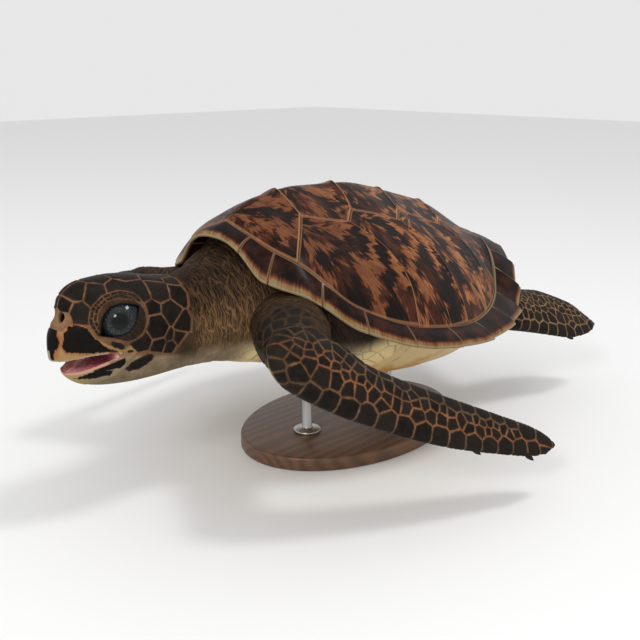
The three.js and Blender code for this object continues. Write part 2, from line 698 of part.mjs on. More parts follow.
const frontFrame = bladeFrame([0.33, -0.56, 0.09], [0.62, -0.033, -0.202], [0.454, -0.61, -0.649]);
const frontLead = through([
  [-0.06, 0.04], [-0.041, 0.072], [-0.02, 0.09], [0, 0.1], [0.07, 0.113], [0.144, 0.118],
  [0.258, 0.115], [0.378, 0.103], [0.448, 0.09], [0.549, 0.067], [0.594, 0.055], [0.641, 0.036],
  [0.665, 0.018], [0.678, 0],
]);
const frontTrail = through([
  [-0.06, 0.03], [-0.045, -0.01], [-0.02, -0.035], [0.03, -0.045], [0.1, -0.035], [0.175, -0.014],
  [0.27, -0.012], [0.4, -0.017], [0.53, -0.023], [0.6, -0.025], [0.64, -0.021], [0.666, -0.012],
  [0.678, -0.002],
]);
const frontThickness = through([
  [-0.06, 0.02], [-0.045, 0.05], [0, 0.085], [0.08, 0.074], [0.2, 0.05], [0.35, 0.034],
  [0.5, 0.024], [0.62, 0.016], [0.678, 0.006],
]);
const FRONT_STOPS = [
  -0.06, -0.045, -0.02, 0.02, 0.08, 0.15, 0.24, 0.33, 0.42, 0.51, 0.58, 0.63, 0.66, 0.678,
];
const SHOULDER = [0.1, -0.36, 0.06];
const UPPER_ARM = [0.245, -0.21, 0.01];

function frontLimb() {
  const arm = roundLimb([
    { at: SHOULDER, towards: UPPER_ARM, half: 0.085, tall: 0.085 },
    { at: [0.2, -0.448, 0.066], towards: UPPER_ARM, half: 0.086, tall: 0.08 },
    { at: [0.27, -0.505, 0.07], towards: UPPER_ARM, half: 0.078, tall: 0.072 },
    { at: [0.33, -0.55, 0.066], towards: UPPER_ARM, half: 0.06, tall: 0.058 },
    { at: [0.365, -0.59, 0.058], towards: UPPER_ARM, half: 0.035, tall: 0.035 },
  ]);
  const hand = blade(frontFrame, FRONT_STOPS, frontLead, frontTrail, frontThickness);
  const claws = [claw(frontFrame, 0.448, 0.083), claw(frontFrame, 0.594, 0.05)];
  return joined([toSolid(arm), toSolid(hand), ...claws]);
}

const hindFrame = bladeFrame([0.2, 0.36, -0.02], [0.32, 0.713, -0.134], [0.64, -0.424, -0.641]);
const hindLead = through([
  [-0.06, 0.03], [-0.03, 0.075], [0.02, 0.09], [0.084, 0.086], [0.147, 0.084], [0.244, 0.08],
  [0.321, 0.056], [0.366, 0.033], [0.391, 0.006],
]);
const hindTrail = through([
  [-0.06, 0], [-0.03, -0.035], [0.05, -0.05], [0.111, -0.064], [0.181, -0.076], [0.243, -0.071],
  [0.306, -0.06], [0.333, -0.045], [0.358, -0.026], [0.38, -0.012], [0.391, 0.001],
]);
const hindThickness = through([
  [-0.06, 0.03], [-0.02, 0.075], [0.06, 0.066], [0.16, 0.042], [0.26, 0.026], [0.34, 0.016],
  [0.391, 0.006],
]);
const HIND_STOPS = [-0.06, -0.04, 0, 0.05, 0.1, 0.16, 0.22, 0.28, 0.33, 0.365, 0.391];
const THIGH = [0.09, 0.14, -0.01];

function hindLimb() {
  const thigh = roundLimb([
    { at: [0.1, 0.17, -0.01], towards: THIGH, half: 0.07, tall: 0.06 },
    { at: [0.165, 0.27, -0.015], towards: THIGH, half: 0.075, tall: 0.06 },
    { at: [0.2, 0.33, -0.022], towards: THIGH, half: 0.06, tall: 0.05 },
    { at: [0.23, 0.38, -0.03], towards: THIGH, half: 0.03, tall: 0.03 },
  ]);
  const foot = blade(hindFrame, HIND_STOPS, hindLead, hindTrail, hindThickness);
  return joined([toSolid(thigh), toSolid(foot), claw(hindFrame, 0.25, 0.073)]);
}

const TAIL_FLATNESS = 0.9;

function tailSolid() {
  const profile = through([[0.3, 0.06], [0.4, 0.05], [0.45, 0.036], [0.5, 0.022], [0.535, 0.006]]);
  const height = through([[0.3, 0.03], [0.4, 0.026], [0.45, 0.018], [0.535, -0.008]]);
  const rings = [0.3, 0.36, 0.42, 0.46, 0.5, 0.525, 0.535].map((y) => {
    const half = profile(y);
    const reach = { side: half, up: half * TAIL_FLATNESS, down: half * TAIL_FLATNESS };
    return ring([0, y, height(y)], X_AXIS, Z_AXIS, reach, ROUND, LIMB_POINTS);
  });
  return toSolid(loft(rings.map((points) => [...points].reverse())));
}

// ---------------------------------------------------------------- stand
const BASE_LENGTH_MM = 300;
const BASE_WIDTH_MM = 210;
const BASE_HEIGHT_MM = 16;
const BASE_BEVEL_MM = 3;
const ROD_RADIUS_MM = 6;
const FLANGE_RADIUS_MM = 16;
const FLANGE_HEIGHT_MM = 5;
const ROD_STATIONS = { stand_rod_front: 0.3, stand_rod_rear: 0.62 };

function standBase() {
  const outline = new THREE.Shape();
  const halfWidth = BASE_WIDTH_MM / 2 - BASE_BEVEL_MM;
  const halfLength = BASE_LENGTH_MM / 2 - BASE_BEVEL_MM;
  outline.absellipse(0, 0, halfWidth, halfLength, 0, 2 * Math.PI, false, 0);
  const geometry = new THREE.ExtrudeGeometry(outline, {
    depth: BASE_HEIGHT_MM - 2 * BASE_BEVEL_MM,
    bevelThickness: BASE_BEVEL_MM,
    bevelSize: BASE_BEVEL_MM,
    bevelSegments: 1,
    curveSegments: 12,
  });
  geometry.translate(0, 0, BASE_BEVEL_MM);
  geometry.deleteAttribute("normal");
  geometry.deleteAttribute("uv");
  return mergeVertices(geometry, 1e-4);
}

function standRod(station, plastronRecess) {
  const [, y, seat] = toFrame(0, station - 0.5, bowlHeight(0, station) + PLASTRON_THICKNESS / 2);
  const foot = BASE_HEIGHT_MM + GAP;
  const profile = [
    [0, foot], [FLANGE_RADIUS_MM, foot], [FLANGE_RADIUS_MM, foot + FLANGE_HEIGHT_MM * 0.6],
    [FLANGE_RADIUS_MM * 0.7, foot + FLANGE_HEIGHT_MM], [ROD_RADIUS_MM, foot + FLANGE_HEIGHT_MM],
    [ROD_RADIUS_MM, seat], [0, seat],
  ];
  const geometry = new THREE.LatheGeometry(profile.map(([r, z]) => new THREE.Vector2(r, z)), 12);
  geometry.rotateX(Math.PI / 2);
  geometry.translate(0, y, 0);
  return toGeometry(toSolid(geometry).subtract(plastronRecess));
}

// ---------------------------------------------------------------- assembly
const finish = (color, roughness, metalness = 0) =>
  new THREE.MeshStandardMaterial({ color, roughness, metalness, flatShading: true });
const materials = {
  skin: finish(0x3a3029, 0.6),
  eye: finish(0x16202c, 0.1),
  scute: finish(0x4a2415, 0.4),
  marginal: finish(0x33190f, 0.4),
  plastron: finish(0xcdb27a, 0.5),
  wood: finish(0x6b4a30, 0.5),
  metal: finish(0x9c9c9c, 0.35, 1),
};

const group = new THREE.Group();
function add(name, geometry, material) {
  geometry.computeVertexNormals();
  const mesh = new THREE.Mesh(geometry, material);
  mesh.name = name;
  group.add(mesh);
}

const recesses = [];
function addPlate(name, make, material, mirrorToo = false) {
  const plain = make(0);
  const grown = make(GAP_L);
  if (mirrorToo) {
    add(`${name.replace("*", "left")}`, plain, material);
    add(`${name.replace("*", "right")}`, mirrored(plain), material);
    recesses.push(toSolid(grown), toSolid(mirrored(grown)));
  } else {
    add(name, plain, material);
    recesses.push(toSolid(grown));
  }
}

vertebrals.forEach((plate, i) => {
  addPlate(`vertebral_${i + 1}`, (grow) => domePlate(plate, grow), materials.scute);
});
costals.forEach((plate, i) => {
  addPlate(`costal_*_${i + 1}`, (grow) => domePlate(plate, grow), materials.scute, true);
});
addPlate("nuchal", (grow) => marginalPlate(0, MARGINAL_SEAMS[0], 0, grow, true), materials.marginal);
MARGINAL_TEETH.forEach((tooth, i) => {
  const make = (grow) => marginalPlate(MARGINAL_SEAMS[i], MARGINAL_SEAMS[i + 1], tooth, grow);
  addPlate(`marginal_*_${i + 1}`, make, materials.marginal, true);
});
addPlate("plastron", plastronSlab, materials.plastron);
const plastronRecess = recesses[recesses.length - 1];

const leftEye = eyeball(0);
add("eye_left", leftEye, materials.eye);
add("eye_right", mirrored(leftEye), materials.eye);
const leftSocket = eyeball(GAP_L);
recesses.push(toSolid(leftSocket), toSolid(mirrored(leftSocket)));

// Each piece of flesh is what its own form leaves outside the hard parts and the trunk.
function largest(solid) {
  const pieces = solid.decompose();
  return pieces.reduce((best, piece) => (piece.volume() > best.volume() ? piece : best));
}

const hardParts = joined(recesses);
const trunkRoom = trunkSolid(GAP_L);
const neckRoom = toSolid(headAndNeck(GAP_L));
const HEAD_CUT_CENTRE = [0, -0.655, 0.09];
const HEAD_CUT_NORMAL = [0, 1, 0.12];
const headCuts = joined([
  acrossHead(mouthOutline),
  acrossHead(jawCutOutline),
  cutSlab(HEAD_CUT_CENTRE, HEAD_CUT_NORMAL, 0.14, 0.2),
]);
const headPieces = toSolid(headAndNeck(0)).subtract(trunkRoom).subtract(hardParts).subtract(headCuts);
const byVolume = headPieces.decompose().sort((a, b) => b.volume() - a.volume());
const neckAndHead = byVolume.slice(0, 2).sort((a, b) => a.boundingBox().min[1] - b.boundingBox().min[1]);
add("head", toGeometry(neckAndHead[0]), materials.skin);
add("lower_jaw", toGeometry(byVolume[2]), materials.skin);
add("neck", toGeometry(neckAndHead[1]), materials.skin);
add("trunk", toGeometry(largest(trunkSolid(0).subtract(plastronRecess))), materials.skin);
add("tail", toGeometry(largest(tailSolid().subtract(trunkRoom).subtract(hardParts))), materials.skin);

const frontForm = frontLimb().subtract(trunkRoom).subtract(neckRoom).subtract(hardParts);
const hindForm = hindLimb().subtract(trunkRoom).subtract(hardParts);
for (const [name, form] of Object.entries({ flipper_front: frontForm, flipper_hind: hindForm })) {
  const left = toGeometry(largest(form));
  add(`${name}_left`, left, materials.skin);
  add(`${name}_right`, mirrored(left), materials.skin);
}

add("stand_base", standBase(), materials.wood);
for (const [name, station] of Object.entries(ROD_STATIONS)) {
  add(name, standRod(station, plastronRecess), materials.metal);
}

export default group;
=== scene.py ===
"""A life-size young hawksbill sea turtle, swimming, on a plain display stand.

Shapes are worked out in shell lengths and turned into metres by to_frame.
The turtle looks along -Y, its left side is +X, and +Z is up.
"""
import math
import bpy
import bmesh
import numpy as np
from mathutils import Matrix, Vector


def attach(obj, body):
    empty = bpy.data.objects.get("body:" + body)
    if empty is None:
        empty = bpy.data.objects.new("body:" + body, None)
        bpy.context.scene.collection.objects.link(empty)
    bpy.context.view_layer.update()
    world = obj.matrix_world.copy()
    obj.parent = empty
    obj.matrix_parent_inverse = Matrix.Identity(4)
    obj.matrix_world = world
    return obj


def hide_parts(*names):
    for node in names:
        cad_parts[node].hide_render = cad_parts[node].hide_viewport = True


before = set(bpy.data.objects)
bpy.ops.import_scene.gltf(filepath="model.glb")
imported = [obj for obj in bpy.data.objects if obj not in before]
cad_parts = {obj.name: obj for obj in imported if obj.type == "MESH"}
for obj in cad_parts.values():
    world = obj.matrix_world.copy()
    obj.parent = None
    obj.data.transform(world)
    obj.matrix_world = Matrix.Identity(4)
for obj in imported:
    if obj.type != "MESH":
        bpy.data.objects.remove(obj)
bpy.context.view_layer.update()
SEED = 20

# ---------------------------------------------------------------- sizes
SHELL = 0.45                  # straight length of the carapace, m
RIM_HEIGHT = 0.152            # height of the rim at its widest, m
FORWARD_SHIFT = 0.018         # moves the shell's middle along Y, m
MM = 0.001 / SHELL            # one millimetre in shell lengths
# From here on everything is in shell lengths. A station runs from 0 at the front of the
# shell to 1 at its rear, and the middle of the shell is at y = 0.
MIDDLE_STATION = 0.5
SHELL_WIDTH = 0.79
WIDTH_POWERS = (0.412, 0.463)
PLATE_THICKNESS = 0.0065
PLATE_LIFT = 0.005            # how far a plate's rear edge stands above the next plate
RIM_EDGE = 0.008
UNDER_RIM = 0.006
PLASTRON_THICKNESS = 0.012
DOME_POWER, DOME_FULLNESS, DOME_FOOT, KEEL_ROUNDING = 1.02, 0.53, 0.975, 0.03
BOWL_POWER = 3.8


def to_frame(points):
    """Shell lengths to metres in the shared frame."""
    return np.asarray(points, float) * SHELL + (0, FORWARD_SHIFT, RIM_HEIGHT)


def in_shell(points):
    """Metres in the shared frame to shell lengths."""
    return (np.asarray(points, float) - (0, FORWARD_SHIFT, RIM_HEIGHT)) / SHELL


def placed(plan, height):
    """Points from rows of x and station, and their heights."""
    return np.column_stack([plan[:, 0], plan[:, 1] - MIDDLE_STATION, height])


# ---------------------------------------------------------------- curves
def through(*pairs):
    """A smooth curve through (t, value) pairs that never swings past them."""
    t, v = np.array(pairs, float).T
    slope = np.diff(v) / np.diff(t)
    a, b = slope[:-1], slope[1:]
    both = np.where(a + b == 0, 1, a + b)
    inner = np.where(a * b <= 0, 0, 2 * a * b / both)
    tangent = np.concatenate([[slope[0]], inner, [slope[-1]]])

    def curve(x):
        x = np.clip(x, t[0], t[-1])
        i = np.clip(np.searchsorted(t, x) - 1, 0, len(t) - 2)
        step = t[i + 1] - t[i]
        u = (x - t[i]) / step
        w = 1 - u
        ends = w * w * (1 + 2 * u) * v[i] + u * u * (3 - 2 * u) * v[i + 1]
        return ends + step * u * w * (w * tangent[i] - u * tangent[i + 1])
    return curve


def smooth(low, high, x):
    """0 below low, 1 above high, and a smooth step between."""
    t = np.clip((np.asarray(x, float) - low) / (high - low), 0, 1)
    return t * t * (3 - 2 * t)


def unit(v):
    v = np.asarray(v, float)
    return v / np.maximum(np.linalg.norm(v, axis=-1, keepdims=True), 1e-12)


# ---------------------------------------------------------------- shell surface
# Heights by station: the rim, the crest of the back and the lowest line of the underside.
rim_height = through((0, .256), (.02, .174), (.07, .143), (.16, .067), (.35, .001), (.6, -.024),
                     (.8, -.018), (1, .124))
crest_height = through((0, .256), (.12, .324), (.25, .342), (.42, .337), (.6, .297), (.78, .2415),
                       (.92, .158), (1, .124))
keel_height = through((0, -.03), (.1, -.052), (.2, -.09), (.35, -.124), (.6, -.133), (.8, -.105),
                      (.93, -.028), (1, .05))
# By the share of the way round the rim: the width of the marginal plates, how far in the dome
# begins, and how much the marginal plates rise towards it.
band_width = through((0, .046), (.06, .044), (.12, .040), (.21, .040), (.37, .050), (.55, .060),
                     (.66, .068), (.76, .075), (.91, .08), (1, .075))
dome_inset = through((0, .01), (.06, .018), (.12, .027), (.2, .038), (.26, .042), (.37, .05),
                     (.55, .06), (.66, .068), (.76, .072), (.85, .05), (.93, .026), (1, .014))
band_rise = through((0, .034), (.06, .054), (.11, .064), (.2, .045), (.36, .038), (.55, .034),
                    (.65, .040), (.735, .052), (.85, .055), (.91, .045), (1, .034))


def rim_half_width(s):
    """Half-width of the shell at a station."""
    front, rear = WIDTH_POWERS
    peak = front / (front + rear)
    top = peak ** front * (1 - peak) ** rear
    s = np.clip(s, 0, 1)
    return SHELL_WIDTH / 2 * s ** front * (1 - s) ** rear / top


rim_s = (1 - np.cos(np.linspace(0, math.pi, 1601))) / 2
rim_x = rim_half_width(rim_s)
rim_run = np.concatenate([[0], np.cumsum(np.hypot(np.diff(rim_x), np.diff(rim_s)))])
RIM_LENGTH = rim_run[-1]
rim_run = rim_run / RIM_LENGTH


def rim_at(u):
    """x and station of the rim, at a share u of its way from the front to the rear."""
    return np.interp(u, rim_run, rim_x), np.interp(u, rim_run, rim_s)


def inside_rim(u, distance):
    """A point at a distance inwards from the rim, in plan, as x and station."""
    u = np.asarray(u, float)
    x, s = rim_at(u)
    x0, s0 = rim_at(np.maximum(u - .01, 0))
    x1, s1 = rim_at(np.minimum(u + .01, 1))
    length = np.hypot(x1 - x0, s1 - s0)
    ix = np.maximum(x - (s1 - s0) / length * distance, 0)
    js = s + (x1 - x0) / length * distance
    ix = np.where((u < 1e-9) | (u > 1 - 1e-9), 0, ix)
    js = np.where(u < 1e-9, distance, np.where(u > 1 - 1e-9, 1 - distance, js))
    return ix, js


def margin_point(u):
    """Where the marginal plates meet the dome."""
    return inside_rim(u, band_width(u))


FOOT_STEPS, FOOT_ADVANCE = 200, 1e-5
foot_u = np.linspace(0, 1, FOOT_STEPS + 1)
foot_x, foot_s = inside_rim(foot_u, dome_inset(foot_u))
foot_rim = rim_height(rim_at(foot_u)[1])
foot_top = foot_rim + band_rise(foot_u) * dome_inset(foot_u) / band_width(foot_u)
for i in range(FOOT_STEPS):
    foot_s[i + 1] = max(foot_s[i + 1], foot_s[i] + FOOT_ADVANCE)


def foot_at(s):
    """Half-width of the dome's foot at a station, and the heights of its top and underside."""
    x = np.maximum(np.interp(s, foot_s, foot_x), 1e-4)
    return x, np.interp(s, foot_s, foot_top), np.interp(s, foot_s, foot_rim - UNDER_RIM)


def dome_height(x, s):
    """Height of the upper shell in plan."""
    fx, top, _ = foot_at(s)
    across = np.minimum(np.abs(x) / fx, 1)
    reach = math.hypot(1, KEEL_ROUNDING) - KEEL_ROUNDING
    t = np.minimum((np.hypot(across, KEEL_ROUNDING) - KEEL_ROUNDING) / reach, 1)
    profile = lambda along: (1 - (DOME_FOOT * along) ** DOME_POWER) ** DOME_FULLNESS
    fullness = (profile(t) - profile(1)) / (1 - profile(1))
    return top + np.maximum(crest_height(s) - top, 0) * fullness


def bowl_height(x, s):
    """Height of the underside of the lower shell in plan."""
    fx, _, under = foot_at(s)
    across = np.minimum(np.abs(x) / fx, 1)
    return under + (keel_height(s) - under) * (1 - across ** BOWL_POWER)


# ---------------------------------------------------------------- mesh helpers
def build(name, points, faces, material=None, flat=False):
    """An object from points in shell lengths and lists of equal-sided faces."""
    mesh = bpy.data.meshes.new(name)
    points = np.asarray(points, float)
    faces = [np.asarray(f, np.int32) for f in faces if len(f)]
    mesh.vertices.add(len(points))
    mesh.vertices.foreach_set("co", to_frame(points).ravel())
    corners = np.concatenate([f.ravel() for f in faces])
    sizes = np.concatenate([np.full(len(f), f.shape[1], np.int32) for f in faces])
    mesh.loops.add(len(corners))
    mesh.loops.foreach_set("vertex_index", corners)
    mesh.polygons.add(len(sizes))
    starts = np.concatenate([[0], np.cumsum(sizes)[:-1]]).astype(np.int32)
    mesh.polygons.foreach_set("loop_start", starts)
    mesh.update(calc_edges=True)
    mesh.validate()
    mesh.polygons.foreach_set("use_smooth", np.full(len(mesh.polygons), not flat))
    piece = bpy.data.objects.new(name, mesh)
    bpy.context.scene.collection.objects.link(piece)
    if material:
        mesh.materials.append(material)
    return piece


def note(piece, name, values):
    """Stores one value or vector for each point of a piece."""
    values = np.asarray(values, np.float32)
    kind, key = ("FLOAT", "value") if values.ndim == 1 else ("FLOAT_VECTOR", "vector")
    slot = piece.data.attributes.new(name, kind, "POINT")
    slot.data.foreach_set(key, values.ravel())


def grid_faces(rows, columns, closed):
    """Quads over rows of points. closed joins the last column to the first."""
    k, i = np.meshgrid(np.arange(rows - 1), np.arange(columns if closed else columns - 1),
                       indexing="ij")
    j = (i + 1) % columns
    quads = np.stack([k * columns + i, k * columns + j, (k + 1) * columns + j,
                      (k + 1) * columns + i])
    return quads.reshape(4, -1).T


def loft(rings):
    """A closed tube over rings, with a fan at each end: points and faces."""
    rings = np.asarray(rings, float)
    rows, columns = rings.shape[:2]
    points = np.concatenate([rings.reshape(-1, 3), [rings[0].mean(0), rings[-1].mean(0)]])
    i = np.arange(columns)
    j = (i + 1) % columns
    first = rows * columns
    last = (rows - 1) * columns
    ends = np.concatenate([np.stack([np.full(columns, first), j, i], 1),
                           np.stack([np.full(columns, first + 1), last + i, last + j], 1)])
    return points, [grid_faces(rows, columns, True), ends]


def full_outline(left):
    """A closed outline in plan from its left half, which runs from midline to midline."""
    return np.concatenate([left, left[1:-1][::-1] * (-1, 1)])


def lens_form(near, near_height, far, far_height, count):
    """A closed sheet: a centre and rings of count points on one face, and on the other the
    rings and a centre that lead back."""
    i = np.arange(count)
    j = (i + 1) % count
    rings = (len(near) + len(far) - 2) // count
    last = 1 + (rings - 2) * count
    fan = np.stack([np.zeros(count, int), 1 + j, 1 + i], 1)
    floor = np.stack([np.full(count, last + 2 * count), last + count + i, last + count + j], 1)
    points = np.concatenate([placed(near, near_height), placed(far, far_height)])
    return points, [grid_faces(rings, count, True) + 1, fan, floor]


def mirrored(form):
    """A form of the left side as one of the right."""
    points, faces = form
    return points * (-1, 1, 1), [f[:, ::-1] for f in faces]


def merged(forms):
    """Several (points, faces) forms as one."""
    points, faces, start = [], [], 0
    for p, fs in forms:
        points.append(p)
        faces += [np.asarray(f) + start for f in fs]
        start += len(p)
    return np.concatenate(points), faces


def ring(centre, side, up, reach, power, count):
    """A superellipse about a centre. reach is (side, up, down)."""
    angle = 2 * math.pi * np.arange(count) / count
    c, s = np.cos(angle), np.sin(angle)
    across = np.sign(c) * np.abs(c) ** (2 / power) * reach[0]
    rise = np.sign(s) * np.abs(s) ** (2 / power) * np.where(s > 0, reach[1], reach[2])
    return np.asarray(centre) + np.outer(across, side) + np.outer(rise, up)


def polyline_distance(points, line, closed=False):
    """Distance from plan points to a polyline, and the nearest place's index."""
    line = np.asarray(line, float)
    ends = np.roll(line, -1, 0) if closed else line[1:]
    starts = line if closed else line[:-1]
    best = np.full(len(points), 1e9)
    where = np.zeros(len(points), int)
    for k, (a, b) in enumerate(zip(starts, ends)):
        along = b - a
        t = np.clip((points - a) @ along / max(along @ along, 1e-12), 0, 1)
        d = np.linalg.norm(points - a - t[:, None] * along, axis=1)
        closer = d < best
        best[closer] = d[closer]
        where[closer] = k
    return best, where


def inside_polygon(points, polygon):
    """Signed distance to a polygon in plan: positive inside."""
    polygon = np.asarray(polygon, float)
    distance, _ = polyline_distance(points, polygon, True)
    inside = np.zeros(len(points), bool)
    for a, b in zip(polygon, np.roll(polygon, -1, 0)):
        straddles = (a[1] > points[:, 1]) != (b[1] > points[:, 1])
        rise = np.where(b[1] == a[1], 1e-12, b[1] - a[1])
        crossing = (b[0] - a[0]) * (points[:, 1] - a[1]) / rise + a[0]
        inside ^= straddles & (points[:, 0] < crossing)
    return np.where(inside, distance, -distance)


def hash_noise(points, scale, seed=0):
    """Smooth value noise between 0 and 1 for rows of points."""
    p = np.asarray(points, float) / scale + seed * 17.3
    cell = np.floor(p).astype(np.int64)
    f = p - cell
    f = f * f * (3 - 2 * f)
    total = np.zeros(len(p))
    for corner in np.ndindex(*([2] * p.shape[1])):
        corner = np.array(corner)
        c = cell + corner
        h = np.zeros(len(p), np.int64)
        for k in range(p.shape[1]):
            h = (h * 31 + c[:, k]) * 2654435761 % 4294967296
            h ^= h >> 13
        weight = np.prod(np.where(corner, f, 1 - f), axis=1)
        total += weight * ((h % 65536) / 65536)
    return total


# ---------------------------------------------------------------- shader helpers
class Paint:
    """A node material built by short calls."""

    def __init__(self, name, roughness=0.5, **sockets):
        self.material = bpy.data.materials.new(name)
        self.material.use_nodes = True
        self.tree = self.material.node_tree
        self.bsdf = self.tree.nodes["Principled BSDF"]
        self.bsdf.inputs["Roughness"].default_value = roughness
        for key, value in sockets.items():
            self.bsdf.inputs[key.replace("_", " ")].default_value = value

    def put(self, socket, value):
        if isinstance(value, bpy.types.NodeSocket):
            self.tree.links.new(value, socket)
        elif isinstance(value, tuple) and len(value) == 3 and socket.type == "RGBA":
            socket.default_value = (*value, 1)
        else:
            socket.default_value = value

    def node(self, kind, **settings):
        item = self.tree.nodes.new(kind)
        for key, value in settings.items():
            setattr(item, key, value)
        return item

    def value(self, name):
        return self.node("ShaderNodeAttribute", attribute_name=name).outputs["Fac"]

    def vector(self, name):
        return self.node("ShaderNodeAttribute", attribute_name=name).outputs["Vector"]

    def place(self):
        return self.node("ShaderNodeTexCoord").outputs["Object"]

    def math(self, operation, a, b):
        item = self.node("ShaderNodeMath", operation=operation)
        self.put(item.inputs[0], a)
        self.put(item.inputs[1], b)
        return item.outputs[0]

    def plus(self, a, b):
        return self.math("ADD", a, b)

    def times(self, a, b):
        return self.math("MULTIPLY", a, b)

    def rest(self, value):
        """What a share leaves of 1."""
        return self.math("SUBTRACT", 1, value)

    def swing(self, noise, size):
        """A noise turned into a value that swings about zero."""
        return self.times(self.math("SUBTRACT", noise, .5), size)

    def step(self, low, high, value):
        item = self.node("ShaderNodeMapRange", interpolation_type="SMOOTHSTEP")
        self.put(item.inputs["Value"], value)
        item.inputs["From Min"].default_value = low
        item.inputs["From Max"].default_value = high
        return item.outputs[0]

    def combine(self, x, y, z):
        item = self.node("ShaderNodeCombineXYZ")
        for socket, value in zip(item.inputs, (x, y, z)):
            self.put(socket, value)
        return item.outputs[0]

    def split(self, vector):
        item = self.node("ShaderNodeSeparateXYZ")
        self.put(item.inputs[0], vector)
        return item.outputs

    def scaled(self, vector, x, y, z):
        item = self.node("ShaderNodeVectorMath", operation="MULTIPLY")
        self.put(item.inputs[0], vector)
        item.inputs[1].default_value = (x, y, z)
        return item.outputs[0]

    def noise(self, vector, scale, detail=3, rough=.6, distortion=0):
        item = self.node("ShaderNodeTexNoise")
        self.put(item.inputs["Vector"], vector)
        item.inputs["Scale"].default_value = scale
        item.inputs["Detail"].default_value = detail
        item.inputs["Roughness"].default_value = rough
        item.inputs["Distortion"].default_value = distortion
        return item.outputs["Fac"]

    def cracks(self, vector):
        """Distance to the border of the nearest cell."""
        item = self.node("ShaderNodeTexVoronoi", feature="DISTANCE_TO_EDGE")
        self.put(item.inputs["Vector"], vector)
        item.inputs["Scale"].default_value = 1
        return item.outputs["Distance"]

    def ramp(self, value, *stops):
        item = self.node("ShaderNodeValToRGB")
        band = item.color_ramp
        while len(band.elements) < len(stops):
            band.elements.new(0.5)
        for element, (at, color) in zip(band.elements, stops):
            element.position = at
            element.color = (*color, 1)
        self.put(item.inputs[0], value)
        return item.outputs[0]

    def mix(self, share, a, b):
        item = self.node("ShaderNodeMix", data_type="RGBA", blend_type="MIX")
        self.put(item.inputs["Factor"], share)
        self.put(item.inputs[6], a)
        self.put(item.inputs[7], b)
        return item.outputs[2]

    def bump(self, height, strength, distance):
        item = self.node("ShaderNodeBump")
        item.inputs["Strength"].default_value = strength
        item.inputs["Distance"].default_value = distance
        self.put(item.inputs["Height"], height)
        return item.outputs[0]

    def done(self, color, roughness, normal=None):
        self.put(self.bsdf.inputs["Base Color"], color)
        self.put(self.bsdf.inputs["Roughness"], roughness)
        if normal is not None:
            self.put(self.bsdf.inputs["Normal"], normal)
        return self.material


def rgb(r, g, b):
    """Screen colour, 0 to 255, as linear light."""
    return tuple(((c / 255 + .055) / 1.055) ** 2.4 if c > 10 else c / 255 / 12.92
                 for c in (r, g, b))


# ---------------------------------------------------------------- materials
HORN = dict(roughness=.34, Coat_Weight=.03, Coat_Roughness=.18, Specular_IOR_Level=.06)


def scute_paint():
    p = Paint("scute", **HORN)
    x, y, r = p.split(p.vector("radial"))
    seed = p.value("seed")
    edge = p.value("edge")
    spokes = p.combine(x, y, seed)
    comb = p.noise(spokes, 11, 2, .6)
    fine = p.noise(spokes, 40, 2, .6)
    shift = p.swing(comb, 34)
    small = p.swing(fine, 11)
    shift = p.times(p.plus(shift, small), p.step(2, 26, r))
    pushed = p.plus(r, shift)
    # Bands that run round the oldest part of the plate, broken into pieces.
    spot = p.combine(p.plus(p.times(x, 1.9), p.times(seed, 7)), p.times(y, 1.9),
                     p.times(pushed, .058))
    blotch = p.noise(spot, 1.35, 2.0, .55)
    glow = p.noise(spot, .9, 2, .5)
    outward = p.times(p.step(0, 60, r), .03)
    level = p.plus(blotch, outward)
    dark = p.mix(p.step(.46, .72, glow), rgb(21, 14, 12), rgb(72, 36, 24))
    amber = p.mix(p.step(.35, .65, p.noise(spot, 2.6)), rgb(104, 57, 33),
                  rgb(164, 106, 62))
    _, rearward, _ = p.split(p.place())
    amber = p.mix(p.times(p.step(.02, -.12, rearward), .85), amber, rgb(102, 61, 39))
    flame = p.step(.568, .600, level)
    halo = p.step(.51, .59, level)
    body = p.mix(p.times(halo, .7), dark, rgb(88, 44, 27))
    body = p.mix(flame, body, amber)
    body = p.mix(p.times(p.step(.45, .7, fine), .45), body, rgb(40, 25, 19))
    lip = p.rest(p.step(1.2, 2.6, edge))
    lip = p.times(lip, p.plus(.5, p.times(p.value("rear"), .45)))
    color = p.mix(lip, body, rgb(156, 110, 76))
    rings = p.noise(p.combine(p.times(edge, .9), seed, 0), 1.0, 1, .5)
    grain = p.noise(p.place(), 900, 2, .6)
    height = p.plus(p.times(rings, .6), p.times(grain, .25))
    rough = p.plus(.27, p.times(p.noise(p.place(), 60), .2))
    return p.done(color, rough, p.bump(height, .25, .0006))


